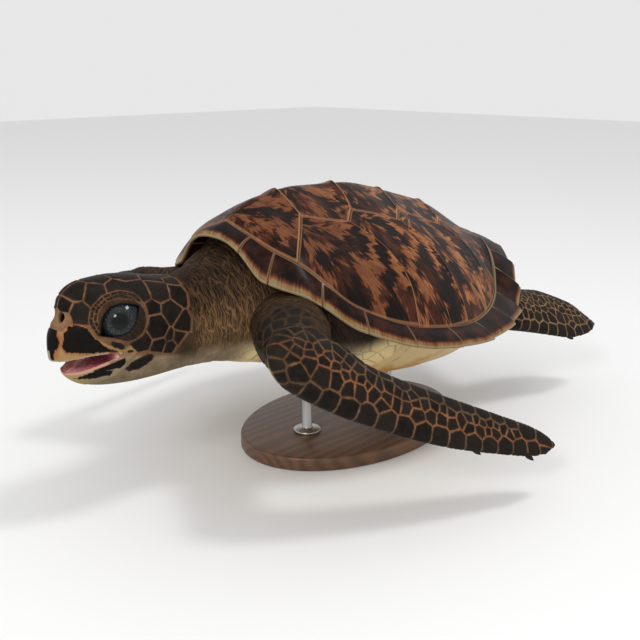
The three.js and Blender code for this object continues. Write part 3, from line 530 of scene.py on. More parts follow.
def marginal_paint():
    p = Paint("marginal", **HORN)
    out, end, inner = p.value("out"), p.value("end"), p.value("inner")
    along, station = p.value("along"), p.value("station")
    streak = p.noise(p.combine(p.times(along, .55), p.times(out, .03), 0), 1)
    wide = p.noise(p.combine(p.times(along, .07), 3.0, 0), 1, 1, .5)
    reach = p.plus(p.swing(streak, 5), p.swing(wide, 4))
    depth = p.plus(out, reach)
    heart = p.mix(p.step(.4, .75, p.noise(p.place(), 45)), rgb(18, 12, 10), rgb(58, 27, 19))
    rearward = p.step(.12, .34, station)
    depth = p.plus(depth, p.plus(p.times(rearward, .4), 1.2))
    fringe = p.ramp(p.math("DIVIDE", depth, 10), (.0, rgb(130, 125, 101)),
                    (.2, rgb(138, 117, 82)), (.34, rgb(116, 71, 40)), (.46, rgb(74, 38, 23)),
                    (.60, rgb(34, 21, 16)))
    body = p.mix(p.step(.52, .66, p.math("DIVIDE", depth, 10)), fringe, heart)
    seam = p.rest(p.step(.7, 1.5, end))
    inner = p.math("DIVIDE", inner, p.plus(.45, station))
    band = p.rest(p.step(1.2, 2.6, inner))
    tan = p.mix(p.step(.3, .62, station), rgb(118, 88, 62), rgb(122, 110, 86))
    color = p.mix(p.math("MAXIMUM", p.times(seam, .85), band), body, tan)
    grain = p.noise(p.place(), 700)
    return p.done(color, p.plus(.28, p.times(grain, .15)), p.bump(grain, .12, .0004))


def plastron_paint():
    p = Paint("plastron", roughness=.45, Specular_IOR_Level=.25)
    seam = p.value("seam")
    patch = p.noise(p.place(), 16, 4, .6, .4)
    cream = p.mix(p.noise(p.place(), 60), rgb(188, 158, 104), rgb(206, 182, 134))
    color = p.mix(p.step(.48, .64, patch), cream, rgb(188, 132, 54))
    color = p.mix(p.rest(p.step(.3, 1.1, seam)), color, rgb(122, 112, 100))
    grain = p.noise(p.place(), 500)
    return p.done(color, .45, p.bump(grain, .15, .0004))


def bed_paint():
    p = Paint("shell_bed", roughness=.6)
    color = p.mix(p.noise(p.place(), 120), rgb(112, 100, 80), rgb(146, 134, 108))
    return p.done(color, .6, p.bump(p.noise(p.place(), 800, 2, .6), .2, .0004))


def skin_paint():
    p = Paint("skin", roughness=.5, Specular_IOR_Level=.05)
    place = p.place()
    plate, tone, fold = p.value("plate"), p.value("tone"), p.value("fold")
    under = p.vector("under")
    wobble = p.plus(p.swing(p.noise(place, 420), 1.2),
                    p.swing(p.noise(place, 110, 2, .6), 1.6))
    inside = p.step(.15, 1.2, p.plus(plate, wobble))
    age = p.step(.3, .75, p.noise(place, 75))
    under = p.mix(p.times(age, .42), under, p.scaled(under, .45, .42, .40))
    horn = p.mix(tone, rgb(17, 14, 12), rgb(32, 27, 23))
    horn = p.mix(p.times(p.step(.3, .8, p.noise(place, 140, 4, .65)), .4), horn,
                 rgb(48, 40, 34))
    # A plate is brown where it is thin, along its edge.
    thinned = p.rest(p.step(.5, 2.6, p.plus(plate, wobble)))
    horn = p.mix(p.times(thinned, .42), horn, rgb(66, 47, 35))
    # Folds and fine creases of the soft skin.
    grain = p.vector("grain")
    bent = p.node("ShaderNodeVectorMath", operation="ADD")
    p.put(bent.inputs[0], grain)
    sway = p.node("ShaderNodeTexNoise")
    p.put(sway.inputs["Vector"], grain)
    sway.inputs["Scale"].default_value = .06
    p.put(bent.inputs[1], p.scaled(sway.outputs["Color"], 9, 16, 0))
    crease = p.cracks(p.scaled(bent.outputs[0], .34, .040, 1))
    second = p.cracks(p.scaled(bent.outputs[0], .70, .10, 1))
    lines = p.rest(p.step(.0, .13, crease))
    thin = p.rest(p.step(.0, .14, second))
    web = p.math("MAXIMUM", lines, p.times(thin, .5))
    shade = p.step(.3, .7, p.noise(place, 110, 5, .65))
    soft = p.mix(p.times(shade, .7), under, p.scaled(under, .6, .56, .52))
    lit = p.mix(.6, under, rgb(170, 126, 84))
    veins = p.mix(p.times(web, p.value("lines")), soft, lit)
    soft = p.mix(fold, soft, veins)
    # Thin grey seams of the bridge between the shells.
    bridge = p.value("bridge")
    tiles = p.rest(p.step(.01, .05, p.cracks(p.scaled(place, 46, 46, 46))))
    gold = p.step(.5, .66, p.noise(place, 18))
    pale = p.mix(gold, rgb(214, 192, 140), rgb(204, 150, 70))
    pale = p.mix(p.times(tiles, .6), pale, rgb(128, 120, 108))
    soft = p.mix(bridge, soft, pale)
    color = p.mix(inside, soft, horn)
    mouth = p.value("mouth")
    # The lining of the mouth is pink. It turns maroon deeper in and on the roof, and that
    # darkening is painted shade.
    gum_with_shade = p.ramp(p.math("DIVIDE", p.value("depth"), 20), (0, rgb(222, 176, 160)),
                 (.35, rgb(208, 150, 140)), (.75, rgb(160, 86, 94)), (1, rgb(124, 58, 70)))
    gum_with_shade = p.mix(p.times(p.step(.4, .7, p.noise(place, 420)), .18), gum_with_shade,
                rgb(232, 190, 176))
    color = p.mix(mouth, color, gum_with_shade)
    height = p.plus(p.times(p.times(web, fold), -1.0), p.times(p.noise(place, 700), .35))
    rough = p.mix(inside, (.65, .65, .65), (.45, .45, .45))
    rough = p.mix(mouth, rough, (.25, .25, .25))
    return p.done(color, rough, p.bump(height, .5, .0007))


def beak_paint():
    p = Paint("beak", roughness=.36, Specular_IOR_Level=.06)
    place = p.place()
    jag = p.noise(p.scaled(place, 1, 1, .35), 330, 3, .7)
    patch = p.plus(p.value("patch"), p.swing(jag, 5.5))
    black = p.mix(p.noise(place, 120), rgb(10, 8, 7), rgb(24, 19, 16))
    border = p.step(-3.4, -.2, patch)
    base = p.mix(p.noise(place, 70), rgb(140, 106, 68), rgb(170, 138, 92))
    _, along, high = p.split(place)
    rear = p.step(-.378, -.350, along)
    jaw = p.mix(p.step(.148, .166, high), rgb(112, 99, 80), rgb(138, 122, 98))
    jaw_tip = p.mix(p.noise(place, 40), rgb(132, 110, 62), rgb(160, 140, 92))
    jaw = p.mix(rear, jaw_tip, jaw)
    base = p.mix(p.value("lower"), base, jaw)
    base = p.mix(p.times(border, p.rest(p.value("lower"))), base, rgb(146, 94, 58))
    color = p.mix(p.step(-.5, .4, patch), base, black)
    lip = p.rest(p.step(1.0, 3.2, p.value("lip")))
    color = p.mix(p.times(lip, .9), color,
                  p.mix(p.value("lower"), rgb(158, 142, 120), rgb(190, 140, 124)))
    grain = p.noise(place, 420)
    return p.done(color, p.plus(.3, p.times(grain, .18)), p.bump(grain, .15, .0005))


def eye_paint():
    p = Paint("eye", roughness=.06, Specular_IOR_Level=.2)
    radius = p.value("radius")
    turn = p.vector("turn")
    fibre = p.noise(p.scaled(turn, 1, 1, .12), 5.0, 4, .7)
    fleck = p.noise(p.place(), 900, 3, .7)
    shifted = p.plus(radius, p.swing(fibre, 1.6))
    base = p.ramp(p.math("DIVIDE", shifted, 22), (.0, rgb(10, 10, 10)), (.30, rgb(12, 12, 12)),
                  (.34, rgb(24, 27, 27)), (.50, rgb(31, 35, 35)), (.585, rgb(24, 29, 34)),
                  (.66, rgb(24, 34, 46)), (.76, rgb(15, 23, 36)), (.88, rgb(7, 9, 15)))
    speck = p.times(p.step(.54, .68, fleck), p.step(7, 8.5, radius))
    speck = p.times(speck, p.rest(p.step(12.5, 16, radius)))
    color = p.mix(p.times(speck, .6), base, rgb(112, 112, 96))
    return p.done(color, p.plus(.05, p.times(fleck, .03)))


def claw_paint():
    p = Paint("claw", roughness=.4, Specular_IOR_Level=.08)
    color = p.mix(p.noise(p.place(), 300), rgb(20, 16, 14), rgb(50, 38, 28))
    return p.done(color, .35, p.bump(p.noise(p.place(), 1200, 2, .5), .1, .0003))


def wood_paint():
    p = Paint("wood", roughness=.42, Coat_Weight=.15, Coat_Roughness=.25)
    stretched = p.scaled(p.place(), 3.5, .35, 3.5)
    waves = p.node("ShaderNodeTexWave", wave_type="RINGS", rings_direction="Y")
    p.put(waves.inputs["Vector"], p.scaled(p.place(), 1.0, .12, 1.6))
    waves.inputs["Scale"].default_value = 28
    waves.inputs["Distortion"].default_value = 5
    waves.inputs["Detail"].default_value = 3
    pores = p.noise(p.scaled(p.place(), 1, .06, 1), 700)
    tone = p.plus(p.times(waves.outputs["Fac"], .55), p.times(p.noise(stretched, 9, 4, .6), .45))
    color = p.mix(tone, rgb(62, 40, 26), rgb(112, 76, 48))
    color = p.mix(p.times(p.step(.55, .7, pores), .5), color, rgb(40, 25, 17))
    return p.done(color, p.plus(.34, p.times(pores, .2)), p.bump(pores, .2, .0004))


def metal_paint():
    p = Paint("metal", roughness=.3, Metallic=1.0)
    brush = p.noise(p.scaled(p.place(), 1, 1, .02), 1800)
    color = p.mix(brush, rgb(150, 150, 150), rgb(196, 196, 194))
    return p.done(color, p.plus(.24, p.times(brush, .16)), p.bump(brush, .08, .0002))


paints = {name: make() for name, make in {
    "scute": scute_paint, "marginal": marginal_paint, "plastron": plastron_paint, "bed": bed_paint,
    "skin": skin_paint, "beak": beak_paint, "eye": eye_paint, "claw": claw_paint,
    "wood": wood_paint, "metal": metal_paint}.items()}


def finish_piece(piece, slot, *nodes):
    """Every piece rides the root. Those that stand for solids of model.glb name their nodes."""
    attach(piece, "root")
    if nodes:
        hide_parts(*nodes)
    return piece


# ---------------------------------------------------------------- plates of the dome
# Corners of the plates as (x, station), and places along the rim as shares of its length.
V1_REAR, V2_REAR, V3_REAR, V4_REAR = (0, .2), (0, .392), (0, .572), (0, .742)
V1_CORNER, V2_CORNER, V2_REAR_CORNER = (.095, .188), (.133, .309), (.1, .354)
V3_CORNER, V3_REAR_CORNER = (.136, .487), (.095, .537)
V4_CORNER, V4_REAR_CORNER = (.117, .684), (.09, .714)
C1_FRONT, C2_FRONT, C3_FRONT, C4_FRONT, V5_FRONT = .155, .385, .53, .672, .91
MARGINAL_SEAMS = (.06, .112, .198, .27, .355, .458, .552, .655, .735, .8, .855, .91, 1)
PLATE_GAP = .45 * MM
SEAM_STEPS = 22
MARGIN_STEP, RIM_STEP = .006, .0042


def seam(*points, steps=SEAM_STEPS):
    """A smooth line through plan points."""
    points = np.array(points, float)
    n = len(points)
    line = []
    for t in np.linspace(0, n - 1, steps + 1):
        k = min(int(t), n - 2)
        w = t - k
        a, b, c, d = (points[i] for i in (max(k - 1, 0), k, k + 1, min(k + 2, n - 1)))
        v0, v1 = (c - a) / 2, (d - b) / 2
        line.append((2 * b - 2 * c + v0 + v1) * w ** 3 + (-3 * b + 3 * c - 2 * v0 - v1) * w * w
                    + v0 * w + b)
    return np.array(line)


def margin(start, end):
    """The run along the marginal plates between two shares of the rim."""
    steps = max(int((end - start) / MARGIN_STEP), 2)
    return np.stack(margin_point(np.linspace(start, end, steps)), 1)


def foot(u):
    return np.stack(margin_point(u))


def outline_of(*runs):
    return np.concatenate([run[:-1] for run in runs])


# Seams of the left side, named by the vertebral and costal plates that they part.
lines = {
    "v1v2": seam(V1_CORNER, (.049, .195), V1_REAR),
    "v2v3": seam(V2_REAR_CORNER, (.059, .376), V2_REAR),
    "v3v4": seam(V3_REAR_CORNER, (.049, .553), V3_REAR),
    "v4v5": seam(V4_REAR_CORNER, (.046, .734), V4_REAR),
    "v1c1": seam(foot(C1_FRONT), (.142, .14), V1_CORNER),
    "v2c1": seam(V1_CORNER, (.118, .244), V2_CORNER),
    "v2c2": seam(V2_CORNER, V2_REAR_CORNER, steps=8),
    "v3c2": seam(V2_REAR_CORNER, (.118, .42), V3_CORNER),
    "v3c3": seam(V3_CORNER, V3_REAR_CORNER, steps=8),
    "v4c3": seam(V3_REAR_CORNER, (.104, .613), V4_CORNER),
    "v4c4": seam(V4_CORNER, V4_REAR_CORNER, steps=6),
    "v5c4": seam(V4_REAR_CORNER, (.1, .8), foot(V5_FRONT)),
    "c1c2": seam(V2_CORNER, (.204, .355), (.274, .364), foot(C2_FRONT), steps=30),
    "c2c3": seam(V3_CORNER, (.185, .534), (.271, .541), foot(C3_FRONT), steps=30),
    "c3c4": seam(V4_CORNER, (.165, .733), (.232, .732), foot(C4_FRONT), steps=30),
}
back = {name: line[::-1] for name, line in lines.items()}


def whole(*left_runs):
    """The outline of a plate on the midline, from the runs of its left half."""
    left = outline_of(*left_runs)
    rear = left_runs[-1][-1:]
    right = left[1:][::-1] * (-1, 1)
    return np.concatenate([left, rear, right])


# Centre and outline of each plate in plan.
vertebrals = [
    ((0, .13), whole(margin(0, C1_FRONT), lines["v1c1"], lines["v1v2"])),
    ((0, .29), whole(back["v1v2"], lines["v2c1"], lines["v2c2"], lines["v2v3"])),
    ((0, .475), whole(back["v2v3"], lines["v3c2"], lines["v3c3"], lines["v3v4"])),
    ((0, .65), whole(back["v3v4"], lines["v4c3"], lines["v4c4"], lines["v4v5"])),
    ((0, .83), whole(back["v4v5"], lines["v5c4"], margin(V5_FRONT, 1))),
]
costals = [
    ((.21, .235), outline_of(margin(C1_FRONT, C2_FRONT), back["c1c2"], back["v2c1"],
                             back["v1c1"])),
    ((.225, .44), outline_of(margin(C2_FRONT, C3_FRONT), back["c2c3"], back["v3c2"], back["v2c2"],
                             lines["c1c2"])),
    ((.215, .63), outline_of(margin(C3_FRONT, C4_FRONT), back["c3c4"], back["v4c3"], back["v3c3"],
                             lines["c2c3"])),
    ((.165, .79), outline_of(margin(C4_FRONT, V5_FRONT), back["v5c4"], back["v4c4"],
                             lines["c3c4"])),
]


def inset(outline, distance):
    """An outline in plan, drawn in by a distance."""
    before = unit(outline - np.roll(outline, 1, 0))
    after = unit(np.roll(outline, -1, 0) - outline)
    middle = unit(np.stack([-before[:, 1] - after[:, 1], before[:, 0] + after[:, 0]], 1))
    share = np.maximum(-middle[:, 0] * after[:, 1] + middle[:, 1] * after[:, 0], .4)
    return outline + middle * (distance / share)[:, None]


# Rings of a plate, as shares of the way from its centre to its edge. They crowd at the edge.
PLATE_RINGS = np.concatenate([np.linspace(.04, .88, 18),
                              [.91, .935, .955, .97, .98, .988, .995, 1]])
EDGE_ROUND, EDGE_DROP = 1.3 * MM, .8
LIP_HEIGHT, LIP_PLACE, LIP_WIDTH = .7 * MM, 1.6, 1.3
GROWTH_PITCH, GROWTH_WAVER, GROWTH_RELIEF = 1.05, 1.5, .1 * MM
UNEVENNESS = 1.0 * MM
# Where the oldest part of a plate lies, from its centre. The flames fan out from there.
AREOLA_SHIFTS = {"vertebral": (0, -.064), "costal": (-.098, -.082)}


def edge_drop(distance):
    """How far a plate's top falls away near its edge."""
    near = np.clip(1 - distance / EDGE_ROUND, 0, 1)
    return EDGE_ROUND * (1 - np.sqrt(1 - near ** 2)) * EDGE_DROP


def dome_plate(kind, centre, outline, seed):
    """One horny plate: growth rings, a rounded edge, and a rear edge that stands proud."""
    edge = inset(outline, PLATE_GAP / 2)
    centre = np.array(centre)
    n = len(edge)
    plan = np.concatenate([[centre], *(centre + t * (edge - centre) for t in PLATE_RINGS)])
    to_edge, nearest = polyline_distance(plan, edge, True)
    rear_reach = outline[:, 1].max() - centre[1]
    rearward = smooth(0, 1, (plan[:, 1] - centre[1]) / rear_reach)
    share = np.concatenate([[0], np.repeat(PLATE_RINGS, n)])
    heading = unit(np.roll(edge, -1, 0) - edge)
    out = np.stack([heading[:, 1], -heading[:, 0]], 1)
    rear_edge = smooth(.1, .75, out[nearest][:, 1])
    height = dome_height(plan[:, 0], plan[:, 1]) + PLATE_LIFT * rearward * share ** 2
    height -= edge_drop(to_edge)
    height += LIP_HEIGHT * np.exp(-((to_edge / MM - LIP_PLACE) / LIP_WIDTH) ** 2) * rear_edge
    wave = np.sin(to_edge / MM * GROWTH_PITCH + GROWTH_WAVER * hash_noise(plan, .03, seed))
    height += GROWTH_RELIEF * wave * smooth(2, 7, to_edge / MM)
    height += UNEVENNESS * (hash_noise(plan, .045, seed) - .5) * smooth(0, .03, to_edge)
    under_plan = np.concatenate([centre + t * (edge - centre) for t in (1, .6)] + [[centre]])
    under = dome_height(*under_plan.T) - PLATE_THICKNESS
    # Widths in plan are shorter than those on the slope of the dome.
    step = 1e-3
    x, s = plan.T
    steep = np.hypot(dome_height(x + step, s) - dome_height(x - step, s),
                     dome_height(x, s + step) - dome_height(x, s - step))
    on_surface = to_edge * np.hypot(1, np.minimum(steep / (2 * step), 4))
    from_areola = np.concatenate([plan, under_plan]) - (centre + AREOLA_SHIFTS[kind])
    far = np.linalg.norm(from_areola, axis=1)
    direction = from_areola / np.maximum(far, 1e-6)[:, None]
    none = np.zeros(len(under_plan))
    return lens_form(plan, height, under_plan, under, n), {
        "radial": np.column_stack([direction, far / MM]),
        "edge": np.concatenate([on_surface, none]) / MM,
        "rear": np.concatenate([rear_edge, none])}


def add_plate(name, form, fields, slot, seed):
    """seed sets this plate's pattern apart from the others'."""
    piece = build(name, *form, paints[slot])
    for key, values in fields.items():
        note(piece, key, values)
    note(piece, "seed", np.full(len(form[0]), float(seed)))
    return finish_piece(piece, slot, name)


for k, (centre, outline) in enumerate(vertebrals):
    form, fields = dome_plate("vertebral", centre, outline, k)
    add_plate(f"vertebral_{k + 1}", form, fields, "scute", k * .37 + .1)
for k, (centre, outline) in enumerate(costals):
    form, fields = dome_plate("costal", centre, outline, k + 7)
    add_plate(f"costal_left_{k + 1}", form, fields, "scute", k * .53 + 2.2)
    other = dict(fields, radial=fields["radial"] * (-1, 1, 1))
    add_plate(f"costal_right_{k + 1}", mirrored(form), other, "scute", k * .61 + 5.7)

# ---------------------------------------------------------------- marginal plates
TEETH = (.002, .002, .002, .003, .003, .005, .009, .013, .014, .013, .012, .01)
TOOTH_SHIFT, TOOTH_POWER = .7, 1.5
EDGE_POINTS = 9
BAND_DEPTH = .013             # least height of the band at its inner edge
BAND_BULGE, RIM_BULGE = .004, .0015
INNER_ROUND, INNER_ROUND_WIDTH = .9 * MM, 1.0 * MM
RIGHT_SHIFT = 900             # sets the pattern of the right side apart, mm


def marginal_plate(start, end, tooth, both_sides=False):
    """A wedge that runs along the rim, with a rounded outer edge and chamfered ends."""
    steps = max(int((end - start) / RIM_STEP), 8)
    ease = np.concatenate([[0, .004, .01, .02, .04], np.linspace(.07, .93, steps),
                           [.96, .98, .99, .996, 1]])
    gap = PLATE_GAP / 2 / RIM_LENGTH
    low = start + (0 if both_sides else gap)
    high = end - (0 if end >= 1 else gap)
    u = low + (high - low) * ease
    along = (u - start) / (end - start)
    out = tooth * (np.clip(along, 0, 1) ** TOOTH_POWER - TOOTH_SHIFT)
    _, station = rim_at(u)
    rim = rim_height(station)
    end_distance = np.minimum(np.where(both_sides, 1e3, u - low),
                              np.where(end >= 1, 1e3, high - u))
    end_distance = np.maximum(end_distance, 0) * RIM_LENGTH
    drop = edge_drop(end_distance)
    half = RIM_EDGE / 2
    rows, facts = [], []
    for k in range(len(u)):
        width = float(band_width(u[k])) + out[k]
        inner_x, inner_s = inside_rim(u[k], band_width(u[k]) - INNER_ROUND)
        inner_top = float(dome_height(inner_x, inner_s))
        inner_low = min(rim[k], inner_top - BAND_DEPTH) - UNDER_RIM
        # A section over the top, round the outer edge and back along the underside.
        section = []
        for w in np.concatenate([[0, .012, .03], np.linspace(.07, .93, 15)]):
            bulge = BAND_BULGE * math.sin(math.pi * w) + RIM_BULGE * w
            round_in = max(1 - w * width / INNER_ROUND_WIDTH, 0)
            top = inner_top + (rim[k] + half - inner_top) * w + bulge
            top -= INNER_ROUND * (1 - math.sqrt(1 - round_in ** 2))
            section.append((w, top - drop[k]))
        for a in np.linspace(75, -75, EDGE_POINTS):
            c, s = math.cos(math.radians(a)), math.sin(math.radians(a))
            section.append((1 - (1 - c) * half / width, rim[k] + half * s - drop[k] * s))
        for w in (.9, .7, .45, .2, 0):
            low_z = inner_low + (rim[k] - half - inner_low) * w
            section.append((w, low_z + drop[k]))
        line = []
        for w, z in section:
            px, ps = inside_rim(u[k], (1 - w) * width - out[k])
            if w == 0:
                px, ps = inner_x, inner_s
            line.append((float(px), float(ps) - MIDDLE_STATION, z))
            facts.append(((1 - w) * width / MM, end_distance[k] / MM, w * width / MM,
                          u[k] * RIM_LENGTH / MM, ps))
        rows.append(line)
    rows = np.array(rows)
    facts = np.array(facts).reshape(len(u), -1, 5)
    if both_sides:
        rows = np.concatenate([rows[1:][::-1] * (-1, 1, 1), rows])
        facts = np.concatenate([facts[1:][::-1], facts])
    points, faces = loft(rows)
    flat = facts.reshape(-1, 5)
    flat = np.concatenate([flat, flat[:1], flat[-1:]])
    keys = ("out", "end", "inner", "along", "station")
    return (points, [f[:, ::-1] for f in faces]), {key: flat[:, i] for i, key in enumerate(keys)}


nuchal, facts = marginal_plate(0, MARGINAL_SEAMS[0], 0, True)
add_plate("nuchal", nuchal, facts, "marginal", 0)
for k, tooth in enumerate(TEETH):
    form, facts = marginal_plate(MARGINAL_SEAMS[k], MARGINAL_SEAMS[k + 1], tooth)
    add_plate(f"marginal_left_{k + 1}", form, facts, "marginal", k)
    other = dict(facts, along=facts["along"] + RIGHT_SHIFT)
    add_plate(f"marginal_right_{k + 1}", mirrored(form), other, "marginal", k + 40)


# ---------------------------------------------------------------- shell bed
BED_SINK, BED_INSET, CUT_SHARE, NEAR_CUT = 1.1 * MM, 3.2 * MM, 1.15, .012
BED_SHARES = (-.35, 0, .3, .6, .9)


def shell_bed():
    """The living edge under the horn, seen only in the seams of the marginal plates."""
    u = np.concatenate([np.linspace(0, .02, 8)[:-1], np.linspace(.02, 1, 240)])
    rows = []
    for k in u:
        width = float(band_width(k))
        rim = float(rim_height(rim_at(k)[1]))
        ix, js = inside_rim(k, width)
        inner_top = float(dome_height(ix, js))
        # Toothed plates are cut back at their front ends, so the bed lies deeper there.
        near = [tooth for tooth, start, end in zip(TEETH, MARGINAL_SEAMS, MARGINAL_SEAMS[1:])
                if start - NEAR_CUT < k < end + NEAR_CUT]
        cut = CUT_SHARE * (TOOTH_SHIFT * max(near + [0]))
        sink = BED_SINK + cut / width * (inner_top - rim)
        half = RIM_EDGE / 2 - sink
        line = []
        for w in BED_SHARES:
            px, ps = inside_rim(k, max((1 - w) * width, (BED_INSET + cut) * 1.02))
            if w < 0:
                top = float(dome_height(px, ps)) - 2.2 * MM
            else:
                bulge = BAND_BULGE * math.sin(math.pi * w)
                top = inner_top + (rim + half - inner_top) * w + bulge - sink
            line.append((px, ps, top))
        ox, os = inside_rim(k, BED_INSET + cut)
        low = min(rim, inner_top - BAND_DEPTH) - UNDER_RIM + 1.2 * MM
        bx, bs = inside_rim(k, (1 - BED_SHARES[0]) * width)
        line += [(ox, os, rim + half * .5), (ox, os, rim - half * .5), (ix, js, low),
                 (bx, bs, dome_height(bx, bs) - 4.5 * MM)]
        line = np.array(line, float)
        rows.append(placed(line[:, :2], line[:, 2]))
    rows = np.array(rows)
    rows = np.concatenate([rows[1:-1][::-1] * (-1, 1, 1), rows])
    count, columns = rows.shape[:2]
    k, i = np.meshgrid(np.arange(count), np.arange(columns), indexing="ij")
    kk, ii = (k + 1) % count, (i + 1) % columns
    quads = np.stack([k * columns + i, kk * columns + i, kk * columns + ii, k * columns + ii])
    piece = build("shell_bed", rows.reshape(-1, 3), [quads.reshape(4, -1).T], paints["bed"])
    return finish_piece(piece, "plastron")


shell_bed()

# ---------------------------------------------------------------- plastron
PLASTRON_CENTRE = np.array((0, .45))
BRIDGE = (.355, .62)
lobe_front = seam((0, .05), (.075, .06), (.13, .12), (.17, .2), (.24, .27), steps=60)
lobe_rear = seam((.235, .69), (.165, .72), (.13, .79), (.06, .86), (0, .85), steps=60)
bridge_u = np.linspace(*BRIDGE, 60)
bridge = np.stack(inside_rim(bridge_u, band_width(bridge_u) + 1.2 * MM), 1)
# Seams of the left half of the underside, as (x, station).
PLASTRON_SEAMS = [
    ((0, .05), (0, .86)),
    ((0, .115), (.06, .1), (.1, .09)),
    ((0, .19), (.08, .195), (.14, .17)),
    ((0, .33), (.1, .33), (.185, .3), (.24, .29)),
    ((0, .5), (.12, .5), (.215, .5)),
    ((0, .655), (.1, .65), (.18, .665), (.2, .7)),
    ((0, .76), (.07, .775), (.14, .79)),
    ((.2, .235), (.185, .33), (.2, .42), (.215, .5), (.2, .6), (.17, .7)),
    ((.185, .3), (.27, .31), (.33, .32)),
    ((.2, .42), (.28, .43), (.35, .44)),
    ((.215, .5), (.3, .53), (.35, .55)),
    ((.2, .6), (.28, .63), (.33, .66)),
    ((.235, .25), (.262, .3), (.272, .36), (.28, .43)),
    ((.225, .36), (.25, .34), (.268, .345)),
]


def plastron():
    left = np.concatenate([lobe_front, bridge, lobe_rear])
    edge = full_outline(left)
    n = len(edge)
    shares = np.concatenate([np.linspace(.02, .95, 44), [.965, .98, .99, 1]])
    plan = np.concatenate([[PLASTRON_CENTRE]] + [PLASTRON_CENTRE + t * (edge - PLASTRON_CENTRE)
                                                 for t in shares])
    mirror = np.column_stack([np.abs(plan[:, 0]), plan[:, 1]])
    seam_gap = np.full(len(plan), 1e9)
    for line in PLASTRON_SEAMS:
        seam_gap = np.minimum(seam_gap, polyline_distance(mirror, seam(*line, steps=16))[0])
    seam_gap /= MM
    to_edge, _ = polyline_distance(plan, edge, True)
    low = bowl_height(*plan.T)
    low = low + .5 * MM * np.exp(-(seam_gap / 1.1) ** 2)
    low += 1.2 * MM * (hash_noise(plan, .06, 3) - .5)
    low += 1.6 * MM * np.clip(1 - to_edge / (3 * MM), 0, 1) ** 2
    top_plan = np.concatenate([PLASTRON_CENTRE + t * (edge - PLASTRON_CENTRE) for t in (1, .5)]
                              + [[PLASTRON_CENTRE]])
    top = bowl_height(*top_plan.T) + PLASTRON_THICKNESS
    piece = build("plastron", *lens_form(plan, low, top_plan, top, n), paints["plastron"])
    note(piece, "seam", np.concatenate([seam_gap, np.full(len(top_plan), 9.0)]))
    return finish_piece(piece, "plastron", "plastron")


plastron()

# ---------------------------------------------------------------- forms of the flesh
X_AXIS, Z_AXIS = np.array((1.0, 0, 0)), np.array((0, 0, 1.0))
HEAD_FRONT, NECK_REAR = -.912, -.34
# Half-width, top and underside of the head and neck, by y.
head_half = through((-.912, .005), (-.904, .018), (-.89, .03), (-.87, .042), (-.84, .056),
                    (-.81, .07), (-.78, .082), (-.74, .093), (-.7, .097), (-.66, .092),
                    (-.62, .09), (-.56, .102), (-.5, .128), (-.44, .15), (-.34, .15))
head_top = through((-.912, .108), (-.905, .131), (-.894, .16), (-.88, .186), (-.86, .204),
                   (-.83, .212), (-.78, .213), (-.72, .207), (-.66, .194), (-.6, .186),
                   (-.54, .199), (-.48, .226), (-.4, .24), (-.34, .24))
head_under = through((-.912, .058), (-.902, .053), (-.888, .032), (-.868, .01), (-.84, -.004),
                     (-.8, -.013), (-.74, -.018), (-.66, -.019), (-.58, -.02), (-.5, -.03),
                     (-.42, -.05), (-.34, -.05))
WIDEST_SHARE, HEAD_POWER, ROUND = .42, 2.25, 2
EYE_CENTRE = np.array((.0525, -.777, .1306))
EYE_GAZE = unit((.76, -.58, .28))
EYE_ACROSS = unit(np.cross(Z_AXIS, EYE_GAZE))
EYE_UP = np.cross(EYE_GAZE, EYE_ACROSS)
EYE_RADIUS, EYE_DEPTH = .048, .0365
LID_RADIUS, LID_DEPTH = .0545, .0405
MOUTH_CORNER = (-.787, .0645)
# Edges of the open mouth seen from the side, as (y, z).
upper_lip = ((-.95, .058), (-.9, .06), (-.86, .066), (-.84, .0685), (-.82, .0685), MOUTH_CORNER)
lower_lip = ((-.95, .036), (-.9, .036), (-.885, .034), (-.87, .035), (-.85, .040), (-.83, .0475),
             (-.812, .0545), MOUTH_CORNER)


def solid(form):
    """The same closed form with all its faces looking outwards."""
    points, faces = form
    volume = 0
    for f in faces:
        for k in range(1, f.shape[1] - 1):
            turned = np.cross(points[f[:, k]], points[f[:, k + 1]])
            volume += (points[f[:, 0]] * turned).sum()
    return form if volume > 0 else (points, [f[:, ::-1] for f in faces])


def head_section(y):
    """Half-width of the head at a place, and the heights of its widest line, top and underside."""
    top, under = head_top(y), head_under(y)
    return head_half(y), under + WIDEST_SHARE * (top - under), top, under


def head_form():
    rings = []
    for y in np.concatenate([np.linspace(HEAD_FRONT, -.88, 14),
                             np.linspace(-.874, NECK_REAR, 60)]):
        half, middle, top, under = head_section(y)
        rings.append(ring((0, y, middle), X_AXIS, Z_AXIS, (half, top - middle, middle - under),
                          HEAD_POWER, 72))
    return solid(loft(rings))


def head_x(y, z):
    """Half-width of the head at a place along it and a height."""
    half, middle, top, under = head_section(y)
    reach = np.where(z > middle, top - middle, middle - under)
    share = np.clip(np.abs(z - middle) / reach, 0, 1)
    return half * (1 - share ** HEAD_POWER) ** (1 / HEAD_POWER)


def ellipsoid(centre, across, up, gaze, radius, depth, rows=24, columns=40):
    rings = []
    for a in np.linspace(0, math.pi, rows + 2)[1:-1]:
        r = radius * math.sin(a)
        middle = centre - gaze * depth * math.cos(a)
        rings.append(ring(middle, across, up, (r, r, r), ROUND, columns))
    return solid(loft(rings))


def blade_frame(root, tip, chord_hint):
    """Origin of a blade, and its directions along, across and above."""
    origin = np.array(root, float)
    span = unit(np.array(tip) - origin)
    chord = np.array(chord_hint, float)
    chord = unit(chord - (chord @ span) * span)
    return origin, span, chord, np.cross(chord, span)


def on_blade(limb, along, across, above=0.0):
    """Points from places along, across and above a blade."""
    origin, span, chord, normal = limb["frame"]
    along, across = np.asarray(along)[..., None], np.asarray(across)[..., None]
    return origin + along * span + across * chord + np.asarray(above)[..., None] * normal


